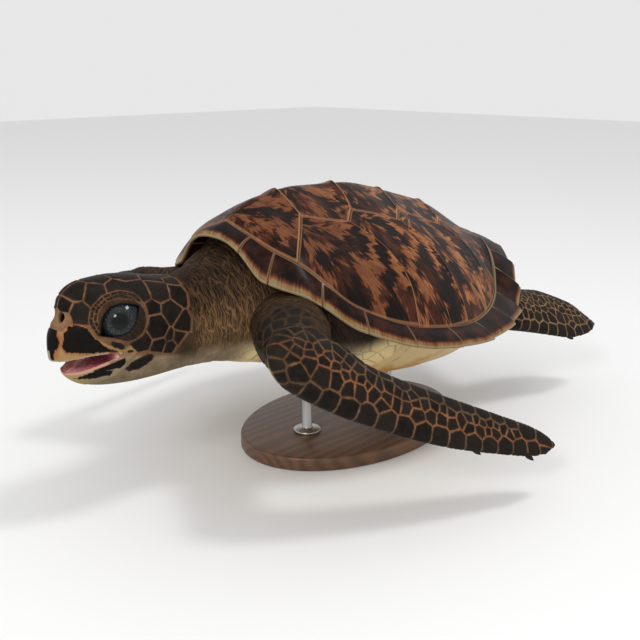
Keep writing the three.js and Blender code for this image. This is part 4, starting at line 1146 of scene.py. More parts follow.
def in_blade(limb, points):
    """Places along, across and above a blade from points."""
    origin, span, chord, normal = limb["frame"]
    d = points - origin
    return d @ span, d @ chord, d @ normal


def blade_form(limb):
    rings = []
    first, last = limb["stops"]
    for along in np.concatenate([np.linspace(first, 0, 8)[:-1], np.linspace(0, last - .05, 40),
                                 last - .05 * (1 - np.linspace(.1, 1, 9)) ** 1.5]):
        lead, trail = limb["lead"](along), limb["trail"](along)
        thick = limb["thick"](along) / 2
        rings.append(ring(on_blade(limb, along, (lead + trail) / 2), limb["frame"][2],
                          limb["frame"][3], ((lead - trail) / 2, thick, thick), ROUND, 48))
    return solid(loft(rings))


def arm_frame(limb):
    """The way an upper arm or thigh runs, and its side and upward directions."""
    along = unit(limb["towards"])
    side = unit(np.cross(along, Z_AXIS))
    return along, side, np.cross(side, along)


def along_arm(limb, points):
    return (points - np.array(limb["arm"][0][0])) @ unit(limb["towards"])


def arm_length(limb):
    return along_arm(limb, np.array([row[0] for row in limb["arm"]]))[-1]


def arm_at(limb, t):
    """Middle, half-width and half-height of an arm at a distance along it."""
    places = np.array([row[0] for row in limb["arm"]])
    run = along_arm(limb, places)
    middle = np.stack([np.interp(t, run, places[:, k]) for k in range(3)], -1)
    return middle, *(np.interp(t, run, [row[k] for row in limb["arm"]]) for k in (1, 2))


def arm_form(limb):
    _, side, up = arm_frame(limb)
    rings = []
    for t in np.linspace(0, arm_length(limb), 18):
        middle, half, tall = arm_at(limb, t)
        rings.append(ring(middle, side, up, (half, tall, tall), ROUND, 40))
    return solid(loft(rings))


# frame: root and tip of a blade, and which way its leading edge looks. stops: its first and
# last place. lead, trail, thick: edges and thickness by place. towards: the way the upper arm
# or thigh runs. arm: its middles, half-widths and half-heights. claws: places by the edge.
front = {
    "frame": blade_frame((.33, -.56, .09), (.62, -.033, -.202), (.454, -.61, -.649)),
    "stops": (-.06, .678),
    "lead": through((-.06, .04), (-.041, .072), (-.02, .09), (0, .1), (.07, .113), (.144, .118),
                    (.258, .115), (.378, .103), (.448, .09), (.549, .067), (.594, .055),
                    (.641, .036), (.665, .018), (.678, 0)),
    "trail": through((-.06, .03), (-.045, -.01), (-.02, -.035), (.03, -.045), (.1, -.035),
                     (.175, -.014), (.27, -.012), (.4, -.017), (.53, -.023), (.6, -.025),
                     (.64, -.021), (.666, -.012), (.678, -.002)),
    "thick": through((-.06, .02), (-.045, .05), (0, .085), (.08, .074), (.2, .05), (.35, .034),
                     (.5, .024), (.62, .016), (.678, .006)),
    "towards": (.245, -.21, .01),
    "arm": [((.1, -.36, .06), .085, .085), ((.2, -.448, .066), .086, .08),
            ((.27, -.505, .07), .078, .072), ((.33, -.55, .066), .06, .058),
            ((.365, -.59, .058), .035, .035)],
    "claws": [(.448, .083), (.594, .05)],
}
hind = {
    "frame": blade_frame((.2, .36, -.02), (.32, .713, -.134), (.64, -.424, -.641)),
    "stops": (-.06, .391),
    "lead": through((-.06, .03), (-.03, .075), (.02, .09), (.084, .086), (.147, .084), (.244, .08),
                    (.321, .056), (.366, .033), (.391, .006)),
    "trail": through((-.06, 0), (-.03, -.035), (.05, -.05), (.111, -.064), (.181, -.076),
                     (.243, -.071), (.306, -.06), (.333, -.045), (.358, -.026), (.38, -.012),
                     (.391, .001)),
    "thick": through((-.06, .03), (-.02, .075), (.06, .066), (.16, .042), (.26, .026),
                     (.34, .016), (.391, .006)),
    "towards": (.09, .14, -.01),
    "arm": [((.1, .17, -.01), .07, .06), ((.165, .27, -.015), .075, .06),
            ((.2, .33, -.022), .06, .05), ((.23, .38, -.03), .03, .03)],
    "claws": [(.25, .073)],
}
tail_radius = through((.3, .06), (.4, .05), (.45, .036), (.5, .022), (.535, .006))
tail_height = through((.3, .03), (.4, .026), (.45, .018), (.535, -.008))
TAIL_ROOT, TAIL_TIP, TAIL_FLATNESS = .3, .535, .9
CORE_TOP, CORE_UNDER = .0105, .006


def tail_form():
    rings = []
    for y in np.linspace(TAIL_ROOT, TAIL_TIP, 24):
        r = tail_radius(y)
        rings.append(ring((0, y, tail_height(y)), X_AXIS, Z_AXIS,
                          (r, r * TAIL_FLATNESS, r * TAIL_FLATNESS), ROUND, 32))
    return solid(loft(rings))


def core_form():
    """The body inside the shell, a little below the plates all round."""
    u = np.linspace(0, 1, 90)
    left = np.stack(inside_rim(u, np.maximum(dome_inset(u), .88 * band_width(u))), 1)
    edge = full_outline(left)
    middle = np.array((0, MIDDLE_STATION))
    shares = np.concatenate([np.linspace(.06, .9, 12), [.95, .98, 1]])
    rings = []
    for t, top in [(t, True) for t in shares] + [(t, False) for t in shares[::-1]]:
        plan = middle + t * (edge - middle)
        z = dome_height(*plan.T) - CORE_TOP if top else bowl_height(*plan.T) + CORE_UNDER
        rings.append(placed(plan, z))
    return solid(loft(rings))


# ---------------------------------------------------------------- which part a place is on
# Each field is the distance outside a part's form, in shell lengths, for left-side places.
BEYOND_ARM, LEAST_HALF, CORE_FIELD = .6, .004, .007


def head_field(p):
    half, middle, top, under = head_section(p[:, 1])
    reach = np.where(p[:, 2] > middle, top - middle, middle - under)
    out = ((np.abs(p[:, 0]) / half) ** HEAD_POWER
           + (np.abs(p[:, 2] - middle) / reach) ** HEAD_POWER) ** (1 / HEAD_POWER)
    return (out - 1) * np.minimum(half, reach) + np.maximum(p[:, 1] - NECK_REAR, 0)


def arm_field(p, limb):
    _, side, up = arm_frame(limb)
    t = along_arm(limb, p)
    middle, half, tall = arm_at(limb, t)
    d = p - middle
    out = np.hypot(d @ side / half, d @ up / tall)
    beyond = np.maximum(t - arm_length(limb), 0) + np.maximum(-t, 0)
    return (out - 1) * np.minimum(half, tall) + beyond * BEYOND_ARM


def blade_field(p, limb):
    along, across, above = in_blade(limb, p)
    first, last = limb["stops"]
    inside = np.clip(along, first, last)
    lead, trail = limb["lead"](inside), limb["trail"](inside)
    half, thick = (lead - trail) / 2, limb["thick"](inside) / 2
    out = np.hypot((across - (lead + trail) / 2) / np.maximum(half, LEAST_HALF), above / thick)
    return (out - 1) * np.minimum(half, thick) + np.abs(along - inside)


def tail_field(p):
    y = np.clip(p[:, 1], TAIL_ROOT, TAIL_TIP)
    r = tail_radius(y)
    out = np.hypot(p[:, 0] / r, (p[:, 2] - tail_height(y)) / (r * TAIL_FLATNESS))
    return (out - 1) * r + np.abs(p[:, 1] - y)


def flips(side):
    """Factors that turn vectors of the left side into those of each place's own side."""
    return np.column_stack([side, np.ones((len(side), 2))])


def mirrored_points(points):
    """The same places on the left side, and which side each is on."""
    side = np.where(points[:, 0] < 0, -1.0, 1.0)
    return points * flips(side), side


def across_eye(p):
    """Places across, up and out from the middle of the left eye."""
    d = p - EYE_CENTRE
    return d @ EYE_ACROSS, d @ EYE_UP, d @ EYE_GAZE


HEAD, ARM, BLADE, THIGH, FOOT, TAIL, CORE = range(7)


def fields_at(points):
    """How far outside each part's form each place lies, in shell lengths."""
    p, _ = mirrored_points(points)
    parts = [head_field(p), arm_field(p, front), blade_field(p, front), arm_field(p, hind),
             blade_field(p, hind), tail_field(p), np.full(len(p), CORE_FIELD)]
    return np.stack(parts, 1)


# ---------------------------------------------------------------- mesh work
INWARD, OUTWARD = .5, -.52


def read(items, key, width, kind):
    """One property of all the items of a mesh, in rows of width."""
    flat = np.empty(len(items) * width, kind)
    items.foreach_get(key, flat)
    return flat.reshape(-1, width) if width > 1 else flat


def positions(mesh):
    return in_shell(read(mesh.vertices, "co", 3, np.float32))


def set_positions(mesh, points):
    mesh.vertices.foreach_set("co", to_frame(points).astype(np.float32).ravel())
    mesh.update()


def normals(mesh):
    return read(mesh.vertex_normals, "vector", 3, np.float32).astype(float)


def edges_of(mesh):
    return read(mesh.edges, "vertices", 2, np.int32)


def relax(points, edges, rounds, weight=1.0, keep_size=True):
    """Evens out a surface. With keep_size each inward step is followed by an outward one."""
    count = np.maximum(np.bincount(edges.ravel(), minlength=len(points)), 1)
    a, b = edges.T
    weight = np.asarray(weight, float)
    weight = weight[:, None] if weight.ndim else weight
    for i in range(rounds * (2 if keep_size else 1)):
        mean = np.empty_like(points)
        for k in range(3):
            mean[:, k] = (np.bincount(a, points[b, k], len(points))
                          + np.bincount(b, points[a, k], len(points))) / count
        step = INWARD if i % 2 == 0 or not keep_size else OUTWARD
        points = points + step * weight * (mean - points)
    return points


def modified(piece, kind, **settings):
    """Puts a modifier on a piece and applies it."""
    modifier = piece.modifiers.new("work", kind)
    for key, value in settings.items():
        setattr(modifier, key, value)
    graph = bpy.context.evaluated_depsgraph_get()
    mesh = bpy.data.meshes.new_from_object(piece.evaluated_get(graph))
    piece.modifiers.clear()
    old = piece.data
    piece.data = mesh
    bpy.data.meshes.remove(old)


def subdivided(mesh, chosen):
    """Halves the edges between chosen points."""
    work = bmesh.new()
    work.from_mesh(mesh)
    edges = [e for e in work.edges if chosen[e.verts[0].index] and chosen[e.verts[1].index]]
    bmesh.ops.subdivide_edges(work, edges=edges, cuts=1, use_grid_fill=True)
    work.to_mesh(mesh)
    work.free()
    mesh.update()


def mouth_wedge():
    """The open mouth, to be cut from the head."""
    outline = np.array(lower_lip + upper_lip[:-1][::-1])
    rows = [np.column_stack([np.full(len(outline), x), outline]) for x in (-.15, .15)]
    return solid(loft(rows))


VOXEL = .0018     # m
EVEN_ROUNDS, JOINT_ROUNDS = 6, 10
FINE_LEVELS = ((1, 2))
NECK_FROM, HEAD_FROM = -.47, -.6


def flesh():
    """One closed surface round the head, neck, body, limbs and tail."""
    head = build("head_form", *head_form())
    wedge = build("wedge", *mouth_wedge())
    modified(head, "BOOLEAN", operation="DIFFERENCE", solver="EXACT", object=wedge)
    bpy.data.objects.remove(wedge)
    left = [arm_form(front), blade_form(front), arm_form(hind), blade_form(hind),
            ellipsoid(EYE_CENTRE, EYE_ACROSS, EYE_UP, EYE_GAZE, LID_RADIUS, LID_DEPTH)]
    rest = build("rest", *merged(left + [mirrored(form) for form in left]
                                 + [tail_form(), core_form()]))
    work = bmesh.new()
    work.from_mesh(head.data)
    work.from_mesh(rest.data)
    whole = bpy.data.meshes.new("skin")
    work.to_mesh(whole)
    work.free()
    for piece in (head, rest):
        bpy.data.objects.remove(piece)
    skin = bpy.data.objects.new("skin", whole)
    bpy.context.scene.collection.objects.link(skin)
    modified(skin, "REMESH", mode="VOXEL", voxel_size=VOXEL, adaptivity=0)
    return skin


def level_of(points):
    """0 for the body, 1 for limbs and neck, 2 for the head."""
    parts = fields_at(points)
    part = parts.argmin(1)
    level = np.where((part == CORE) | (part == TAIL), 0, 1)
    level = np.where((part == HEAD) & (points[:, 1] > NECK_FROM), 0, level)
    return np.where((part == HEAD) & (points[:, 1] < HEAD_FROM), 2, level)


def evened(mesh):
    """Evens the skin out, most of all at the joints between the forms and the foot of the lids,
    and makes its mesh finer towards the head."""
    points = positions(mesh)
    order = np.sort(fields_at(points), 1)
    joint = smooth(.03, .004, order[:, 1] - order[:, 0])
    joint[head_field(points) < -.002] = 0
    aside, above, ahead = across_eye(mirrored_points(points)[0])
    from_eye = np.hypot(aside, above)
    by_lids = smooth(.046, .052, from_eye) * smooth(.076, .066, from_eye) * (ahead > -.012)
    joint = np.maximum(joint, by_lids)
    edges = edges_of(mesh)
    points = relax(points, edges, EVEN_ROUNDS)
    set_positions(mesh, relax(points, edges, JOINT_ROUNDS, joint, False))
    for level in FINE_LEVELS:
        subdivided(mesh, level_of(positions(mesh)) >= level)
        set_positions(mesh, relax(positions(mesh), edges_of(mesh), 2))
    mesh.polygons.foreach_set("use_smooth", np.full(len(mesh.polygons), True))


skin = flesh()
mesh = skin.data
evened(mesh)
mesh.materials.clear()
mesh.materials.append(paints["skin"])
finish_piece(skin, "skin", "head", "lower_jaw", "neck", "trunk", "tail", "flipper_front_left",
             "flipper_front_right", "flipper_hind_left", "flipper_hind_right")


# ---------------------------------------------------------------- relief of the head
ALMOND_CENTRE, ALMOND_HALF, ALMOND_TILT = (0, -1 * MM), (21 * MM, 13.2 * MM), math.radians(37)
PUPIL_PLACE = (.4 * MM, -2.2 * MM)
NOSTRIL = np.array((.0092, -.882, .147))
NOSTRIL_OUT = unit((.36, -.9, .22))
MOUTH_EDGE = .6               # what lies deeper than this in the head's outline, mm, is mouth
MOUTH_DEEP, TONGUE_HIGH = 6, 4.5
PINCH_IN, PINCH_BACK = -.42, .0088


def almond(a, b):
    """Distance inside the opening between the lids, negative outside, in shell lengths."""
    c, s = math.cos(ALMOND_TILT), math.sin(ALMOND_TILT)
    a, b = a - ALMOND_CENTRE[0], b - ALMOND_CENTRE[1]
    along, across = a * c + b * s, b * c - a * s
    half, wide = ALMOND_HALF
    t = along / half
    return (wide * (1 - t * t) - np.abs(across)) / np.hypot(1, 2 * wide * t / half)


def mouth_middle(y):
    """Height of the middle of the mouth's opening."""
    return (np.interp(y, *np.transpose(upper_lip)) + np.interp(y, *np.transpose(lower_lip))) / 2


def mouth_depth(p):
    """How far inside the outline of the head a place is, measured level, in millimetres."""
    foremost, step = -.9119, .002
    y = np.maximum(p[:, 1], foremost)
    x = head_x(y, p[:, 2])
    slope = (head_x(y + step, p[:, 2]) - head_x(np.maximum(y - step, foremost), p[:, 2])) / .004
    return (x - np.abs(p[:, 0])) / np.hypot(1, slope) / MM


def shape_head(mesh):
    """Shapes the mouth, eyes, snout and nostrils, and says where they are."""
    points = positions(mesh)
    p, side = mirrored_points(points)
    flip = flips(side)
    move = np.zeros_like(points)
    near = points[:, 1] < HEAD_FROM
    # The mouth: a hollow floor with a tongue, and an arched palate.
    depth = mouth_depth(p)
    in_mouth = (near & (depth > MOUTH_EDGE) & (p[:, 1] < -.775) & (p[:, 2] < .085)
                & (head_field(p) < -.0012))
    middle_z = mouth_middle(p[:, 1])
    hollow = smooth(1.0, 7, depth) * smooth(-.782, -.80, p[:, 1])
    tongue = np.exp(-(p[:, 0] / (9 * MM)) ** 4) * smooth(-.885, -.86, p[:, 1])
    floor = in_mouth & (p[:, 2] < middle_z)
    roof = in_mouth & (p[:, 2] >= middle_z)
    move[:, 2] -= np.where(floor, hollow * (MOUTH_DEEP - TONGUE_HIGH * tongue) * MM, 0)
    move[:, 2] += np.where(roof, hollow * MOUTH_DEEP * MM, 0)
    # The eye: an almond opening, thin raised lids and a groove round the ring of scales.
    a, b, h = across_eye(p)
    opening = almond(a, b) / MM
    on_eye = near & (h > 0) & (np.hypot(a, b) < LID_RADIUS * 1.5)
    ball = EYE_DEPTH * np.sqrt(np.maximum(1 - (a * a + b * b) / EYE_RADIUS ** 2, 0))
    sink = np.where(on_eye, smooth(-.4, .9, opening), 0)
    shift = np.minimum(ball - 6 * MM - h, 0) * sink
    rim = on_eye * np.exp(-((opening + 1.3) / 1.0) ** 2) * .7 * MM
    # Outside the opening the lid lies just over the eyeball.
    over = np.maximum(ball + 1.3 * MM - h, 0) * np.where(on_eye, smooth(2, -.4, opening), 0)
    shift = shift + rim + over * (1 - sink)
    move += (shift[:, None] * EYE_GAZE) * flip
    # The snout is drawn in round the nostrils.
    pinch = np.exp(-((p[:, 2] - .149) / .021) ** 2) * smooth(-.845, -.885, p[:, 1]) * near
    drawn = np.column_stack([PINCH_IN * p[:, 0] * pinch, PINCH_BACK * pinch, 0 * pinch])
    move += drawn * flip
    p = p + drawn
    # The nostril: a pit with a swollen rim.
    t1 = unit(np.cross(Z_AXIS, NOSTRIL_OUT))
    t2 = np.cross(NOSTRIL_OUT, t1)
    d = p - NOSTRIL
    wide, tall = d @ t1 / MM, d @ t2 / MM
    close = near & (np.abs(d @ NOSTRIL_OUT) < 12 * MM)
    hole = np.hypot(wide / 2.0, tall / 4.2)
    swell = np.exp(-((np.hypot(wide / 4.0, tall / 6.6) - 1) / .38) ** 2) * 1.2
    dig = smooth(1.35, .6, hole) * 5.5
    move += ((np.where(close, swell - dig, 0) * MM)[:, None] * NOSTRIL_OUT) * flip
    points = points + move
    set_positions(mesh, points)
    return {"opening": np.where(on_eye, opening, -99), "depth": depth, "in_mouth": in_mouth,
            "floor": floor, "hole": np.where(close, hole, 99),
            "ring": np.where(near & (h > -.004), np.hypot(a, b), 9)}


head = shape_head(mesh)
set_positions(mesh, relax(positions(mesh), edges_of(mesh), 1))

# ---------------------------------------------------------------- plates of the skin
# Centre and reach of each plate on the left of the head. Rows that share a key are one plate.
head_plates = (
    ("a", .022, -.856, .196, .022), ("b", .041, -.827, .187, .024), ("c", .022, -.879, .173, .018),
    ("d", .038, -.862, .161, .022), ("e", 0, -.80, .212, .022), ("g", .056, -.775, .190, .026),
    ("g", .060, -.735, .184, .026), ("h", 0, -.737, .212, .036), ("i", .021, -.682, .199, .026),
    ("j", .061, -.689, .178, .030), ("k", .065, -.645, .161, .024), ("l", .084, -.721, .147, .018),
    ("m", .085, -.677, .134, .026), ("n", .093, -.722, .112, .028), ("o", .090, -.655, .106, .020),
    ("p", .089, -.757, .091, .026), ("q", .096, -.721, .074, .017), ("r", .096, -.693, .061, .014),
    ("s", .096, -.692, .087, .008), ("t", .092, -.665, .080, .014), ("u", 0, -.645, .193, .018),
    ("v", .035, -.635, .186, .016))
# Soft skin that bounds them: height by place along the head, and reach.
head_soft = (
    [(y, z, .016) for y, z in ((-.78, .055), (-.755, .050), (-.73, .042), (-.70, .034),
                               (-.67, .04), (-.648, .058))]
    + [(y, z, .012) for y, z in ((-.822, .086), (-.805, .080), (-.79, .079), (-.778, .073))]
    + [(y, z, .018) for y, z in ((-.90, .10), (-.888, .10), (-.87, .11), (-.85, .10), (-.84, .085),
                                 (-.86, .08), (-.82, .07), (-.905, .08))])
NECK_ROW, NECK_ROW_REACH = -.602, .02
LID_ROWS = (.0405, .0480, .0556)
LID_COUNTS = (27, 30)
BORDER_FAR = 9.0


CHUNK = 20000                 # places handled at a time


def cells(points, seeds, reach, keys):
    """The key of the cell that holds each place, and the distance to its border in millimetres."""
    owner = np.empty(len(points), int)
    border = np.empty(len(points))
    for start in range(0, len(points), CHUNK):
        chunk = slice(start, start + CHUNK)
        square = ((points[chunk, None] - seeds[None]) ** 2).sum(2) - reach ** 2
        first = square.argmin(1)
        rows = np.arange(len(first))
        least = square[rows, first]
        square[keys[None] == keys[first][:, None]] = 1e9
        second = square.argmin(1)
        apart = np.linalg.norm(seeds[first] - seeds[second], axis=1)
        border[chunk] = (square[rows, second] - least) / (2 * np.maximum(apart, 1e-6)) / MM
        owner[chunk] = keys[first]
    return owner, border


def lid_scales(p):
    """Two rows of small scales round the eye: distance inside one and to the ring, in mm."""
    a, b, _ = across_eye(p)
    a, b = a + .4 * MM, (b - 1.6 * MM) * 1.06
    reach, turn = np.hypot(a, b), np.arctan2(b, a)
    reach = reach + .0012 * np.sin(3 * turn + 1) + .0006 * np.sin(11 * turn)
    inside = np.full(len(p), -9.0)
    for low, high, count in zip(LID_ROWS, LID_ROWS[1:], LID_COUNTS):
        place = turn / (2 * math.pi) * count + .35 * np.sin(5 * turn) + .3 * count
        gap = (.5 - np.abs(place % 1 - .5)) * 2 * math.pi / count * reach
        inside = np.maximum(inside, np.minimum(gap, np.minimum(reach - low, high - reach)) / MM)
    scaly = smooth(-.35, .05, np.sin(turn - math.radians(40))) * smooth(-.98, -.85, np.sin(turn))
    return (inside + .5) * scaly - 3 * (1 - scaly), (reach - LID_ROWS[2]) / MM


NECK_SEEDS = 26


def head_cells(points):
    """Cells of the head. Key 0 is soft skin."""
    seeds, reach, keys, names = [], [], [], []
    for name, x, y, z, r in head_plates:
        for side in ((1, -1) if x > 0 else (1,)):
            if (name, side) not in names:
                names.append((name, side))
            seeds.append((x * side, y, z))
            reach.append(r)
            keys.append(1 + names.index((name, side)))
    soft = [(float(head_x(y, z)), y, z, r) for y, z, r in head_soft]
    soft += [(*NOSTRIL, .0135), (0, -.885, .14, .010)]
    for k in range(NECK_SEEDS):
        turn = 2 * math.pi * k / NECK_SEEDS
        half, middle, top, under = head_section(NECK_ROW)
        reach_z = top - middle if math.sin(turn) > 0 else middle - under
        soft.append((half * math.cos(turn), NECK_ROW, middle + reach_z * math.sin(turn),
                     NECK_ROW_REACH))
    for y in np.arange(-.88, -.6, .03):
        for z_share in (.12, .3):
            top, under = float(head_top(y)), float(head_under(y))
            z = under + z_share * min(top - under, .16)
            soft.append((float(head_x(y, z)), y, z, .014))
        soft.append((0, y, under, .016))
    for x, y, z, r in soft:
        for side in ((1, -1) if x > 0 else (1,)):
            seeds.append((x * side, y, z))
            reach.append(r)
            keys.append(0)
    return cells(points, np.array(seeds), np.array(reach), np.array(keys))


SCATTER_TRIES, SCATTER_GAP, PLATE_SPACING = 2600, .86, .84
ARM_TRIES, RIGHT_KEYS, TONES = 9000, 2000, 6000
# How far along the upper arm and the thigh the plates begin.
ARM_PLATES_FROM = {ARM: .20, THIGH: .10}


def scatter(random, pick):
    """Places of uneven reach that keep apart: rows of along, across and reach."""
    kept = []
    for _ in range(SCATTER_TRIES):
        candidate = pick(random)
        if candidate is None:
            continue
        if kept:
            rows = np.array(kept)
            gap = np.hypot(rows[:, 0] - candidate[0], rows[:, 1] - candidate[1])
            if (gap < SCATTER_GAP * (rows[:, 2] + candidate[2])).any():
                continue
        kept.append(candidate)
    return kept


def limb_seeds(limb, seed, lead_step, trail_step, reach_at, first):
    """Plates of a blade: a row along each edge, and scattered ones between on both faces."""
    random = np.random.default_rng(seed)
    last = limb["stops"][1]
    edge_rows = []
    along = first
    while along < last - .006:
        step = lead_step(along)
        edge_rows.append((along + step / 2, float(limb["lead"](along + step / 2)) - step * .42,
                          step * .5))
        along += step
    along = first
    while along < last - .02:
        step = trail_step(along) * random.uniform(.85, 1.2)
        edge_rows.append((along + step / 2, float(limb["trail"](along + step / 2)) + step * .36,
                          step * .5))
        along += step
    seeds = [(a, c, r, 0) for a, c, r in edge_rows]
    for face in (1, -1):
        def pick(random):
            a = random.uniform(first - .03, last - .02)
            lead, trail = float(limb["lead"](a)), float(limb["trail"](a))
            w = random.uniform(0, 1)
            r = reach_at(a, w) * random.uniform(.8, 1.2)
            c = trail + w * (lead - trail)
            gaps = [math.hypot(a - x, c - y) - PLATE_SPACING * (r + q) for x, y, q in edge_rows]
            return None if min(gaps) < 0 else (a, c, r)
        seeds += [(a, c, r, face) for a, c, r in scatter(random, pick)]
    places, reach, faces = [], [], []
    for a, c, r, face in seeds:
        lead, trail = float(limb["lead"](a)), float(limb["trail"](a))
        half = max((lead - trail) / 2, LEAST_HALF)
        share = min(abs(c - (lead + trail) / 2) / half, .99)
        height = float(limb["thick"](a)) / 2 * math.sqrt(1 - share ** 2)
        places.append(on_blade(limb, a, c, face * height))
        reach.append(r)
        faces.append(face)
    return np.array(places), np.array(reach), np.array(faces)


def front_reach(a, w):
    """Reach of a plate of the front flipper: large by the leading edge, small in the middle."""
    across = np.interp(w, (0, .2, .38, .6, .8, 1), (.0155, .0130, .0095, .0125, .0165, .018))
    return float(across * np.interp(a, (-.05, .05, .3, .6, .68), (.62, .95, 1.05, .95, .7)))


def hind_reach(a, w):
    """Reach of a plate of the hind flipper."""
    across = np.interp(w, (0, .3, .6, 1), (.015, .0105, .014, .019))
    return float(across * np.interp(a, (-.05, .05, .2, .39), (.5, .7, 1, .8)))


def stepped(places, values):
    """Length of the plates along an edge of a blade, as a function of the place."""
    return lambda a: float(np.interp(a, places, values))


FIRST_PLATE = -.01
front_seeds = limb_seeds(front, SEED, stepped((0, .1, .5, .68), (.034, .046, .043, .032)),
                         stepped((0, .2, .5), (.032, .039, .045)), front_reach, FIRST_PLATE)
hind_seeds = limb_seeds(hind, SEED + 1, stepped((0, .1, .39), (.028, .040, .036)),
                        stepped((0, 1), (.03, .03)), hind_reach, FIRST_PLATE)


def arm_seeds(p, part, code, limb, seeds, reach_at, offset):
    """Plates scattered over the upper arm or thigh, clear of the plates of the blade."""
    random = np.random.default_rng(SEED + 5 + offset)
    run = along_arm(limb, p)
    choice = np.flatnonzero((part == code) & (run > ARM_PLATES_FROM[code] - .06))
    choice = choice[random.permutation(len(choice))[:ARM_TRIES]]
    places, reach, _ = seeds
    kept, kept_reach = [], []
    for i in choice:
        r = reach_at(run[i]) * random.uniform(.85, 1.15)
        if any(len(at) and (np.linalg.norm(np.array(at) - p[i], axis=1)
                            < PLATE_SPACING * (np.array(reaches) + r)).any()
               for at, reaches in ((places, reach), (kept, kept_reach))):
            continue
        kept.append(p[i])
        kept_reach.append(r)
    return np.array(kept), np.array(kept_reach)


def blade_cells(p, side, seeds, extra, upper, offset):
    """Cells of one kind of limb. Most plates of the blade's underside are pale."""
    places, reach, faces = seeds
    random = np.random.default_rng(SEED + 9 + offset)
    dark = np.where(faces * upper >= 0, 1, (random.random(len(places)) < .45).astype(int))
    places = np.concatenate([places, extra[0]])
    reach = np.concatenate([reach, extra[1]])
    dark = np.concatenate([dark, np.ones(len(extra[0]), int)])
    keys = offset + 1 + np.arange(len(places))
    owner, border = cells(p, places, reach, keys)
    index = owner - offset - 1
    owner = owner + np.where(side < 0, RIGHT_KEYS, 0)
    return owner, border, dark[index]


def arm_reach(run):
    return float(np.interp(run, (.1, .18, .3), (.0085, .013, .019)))


def thigh_reach(run):
    return float(np.interp(run, (.05, .12, .25), (.008, .011, .013)))


def mixed(share, a, b):
    """Rows of colours between a and b, which are colours or rows of them."""
    share = np.asarray(share, float)[..., None]
    return np.asarray(a) * (1 - share) + np.asarray(b) * share


# Dark marks on the cheek and jaw: place, half-length, half-height, lean and raggedness.
DARK_MARKS = ((-.801, .086, 8.5, 3.6, -.55, .4), (-.779, .070, 3.8, 2.0, -.1, .2),
              (-.757, .041, 15, 6.2, .42, .4))


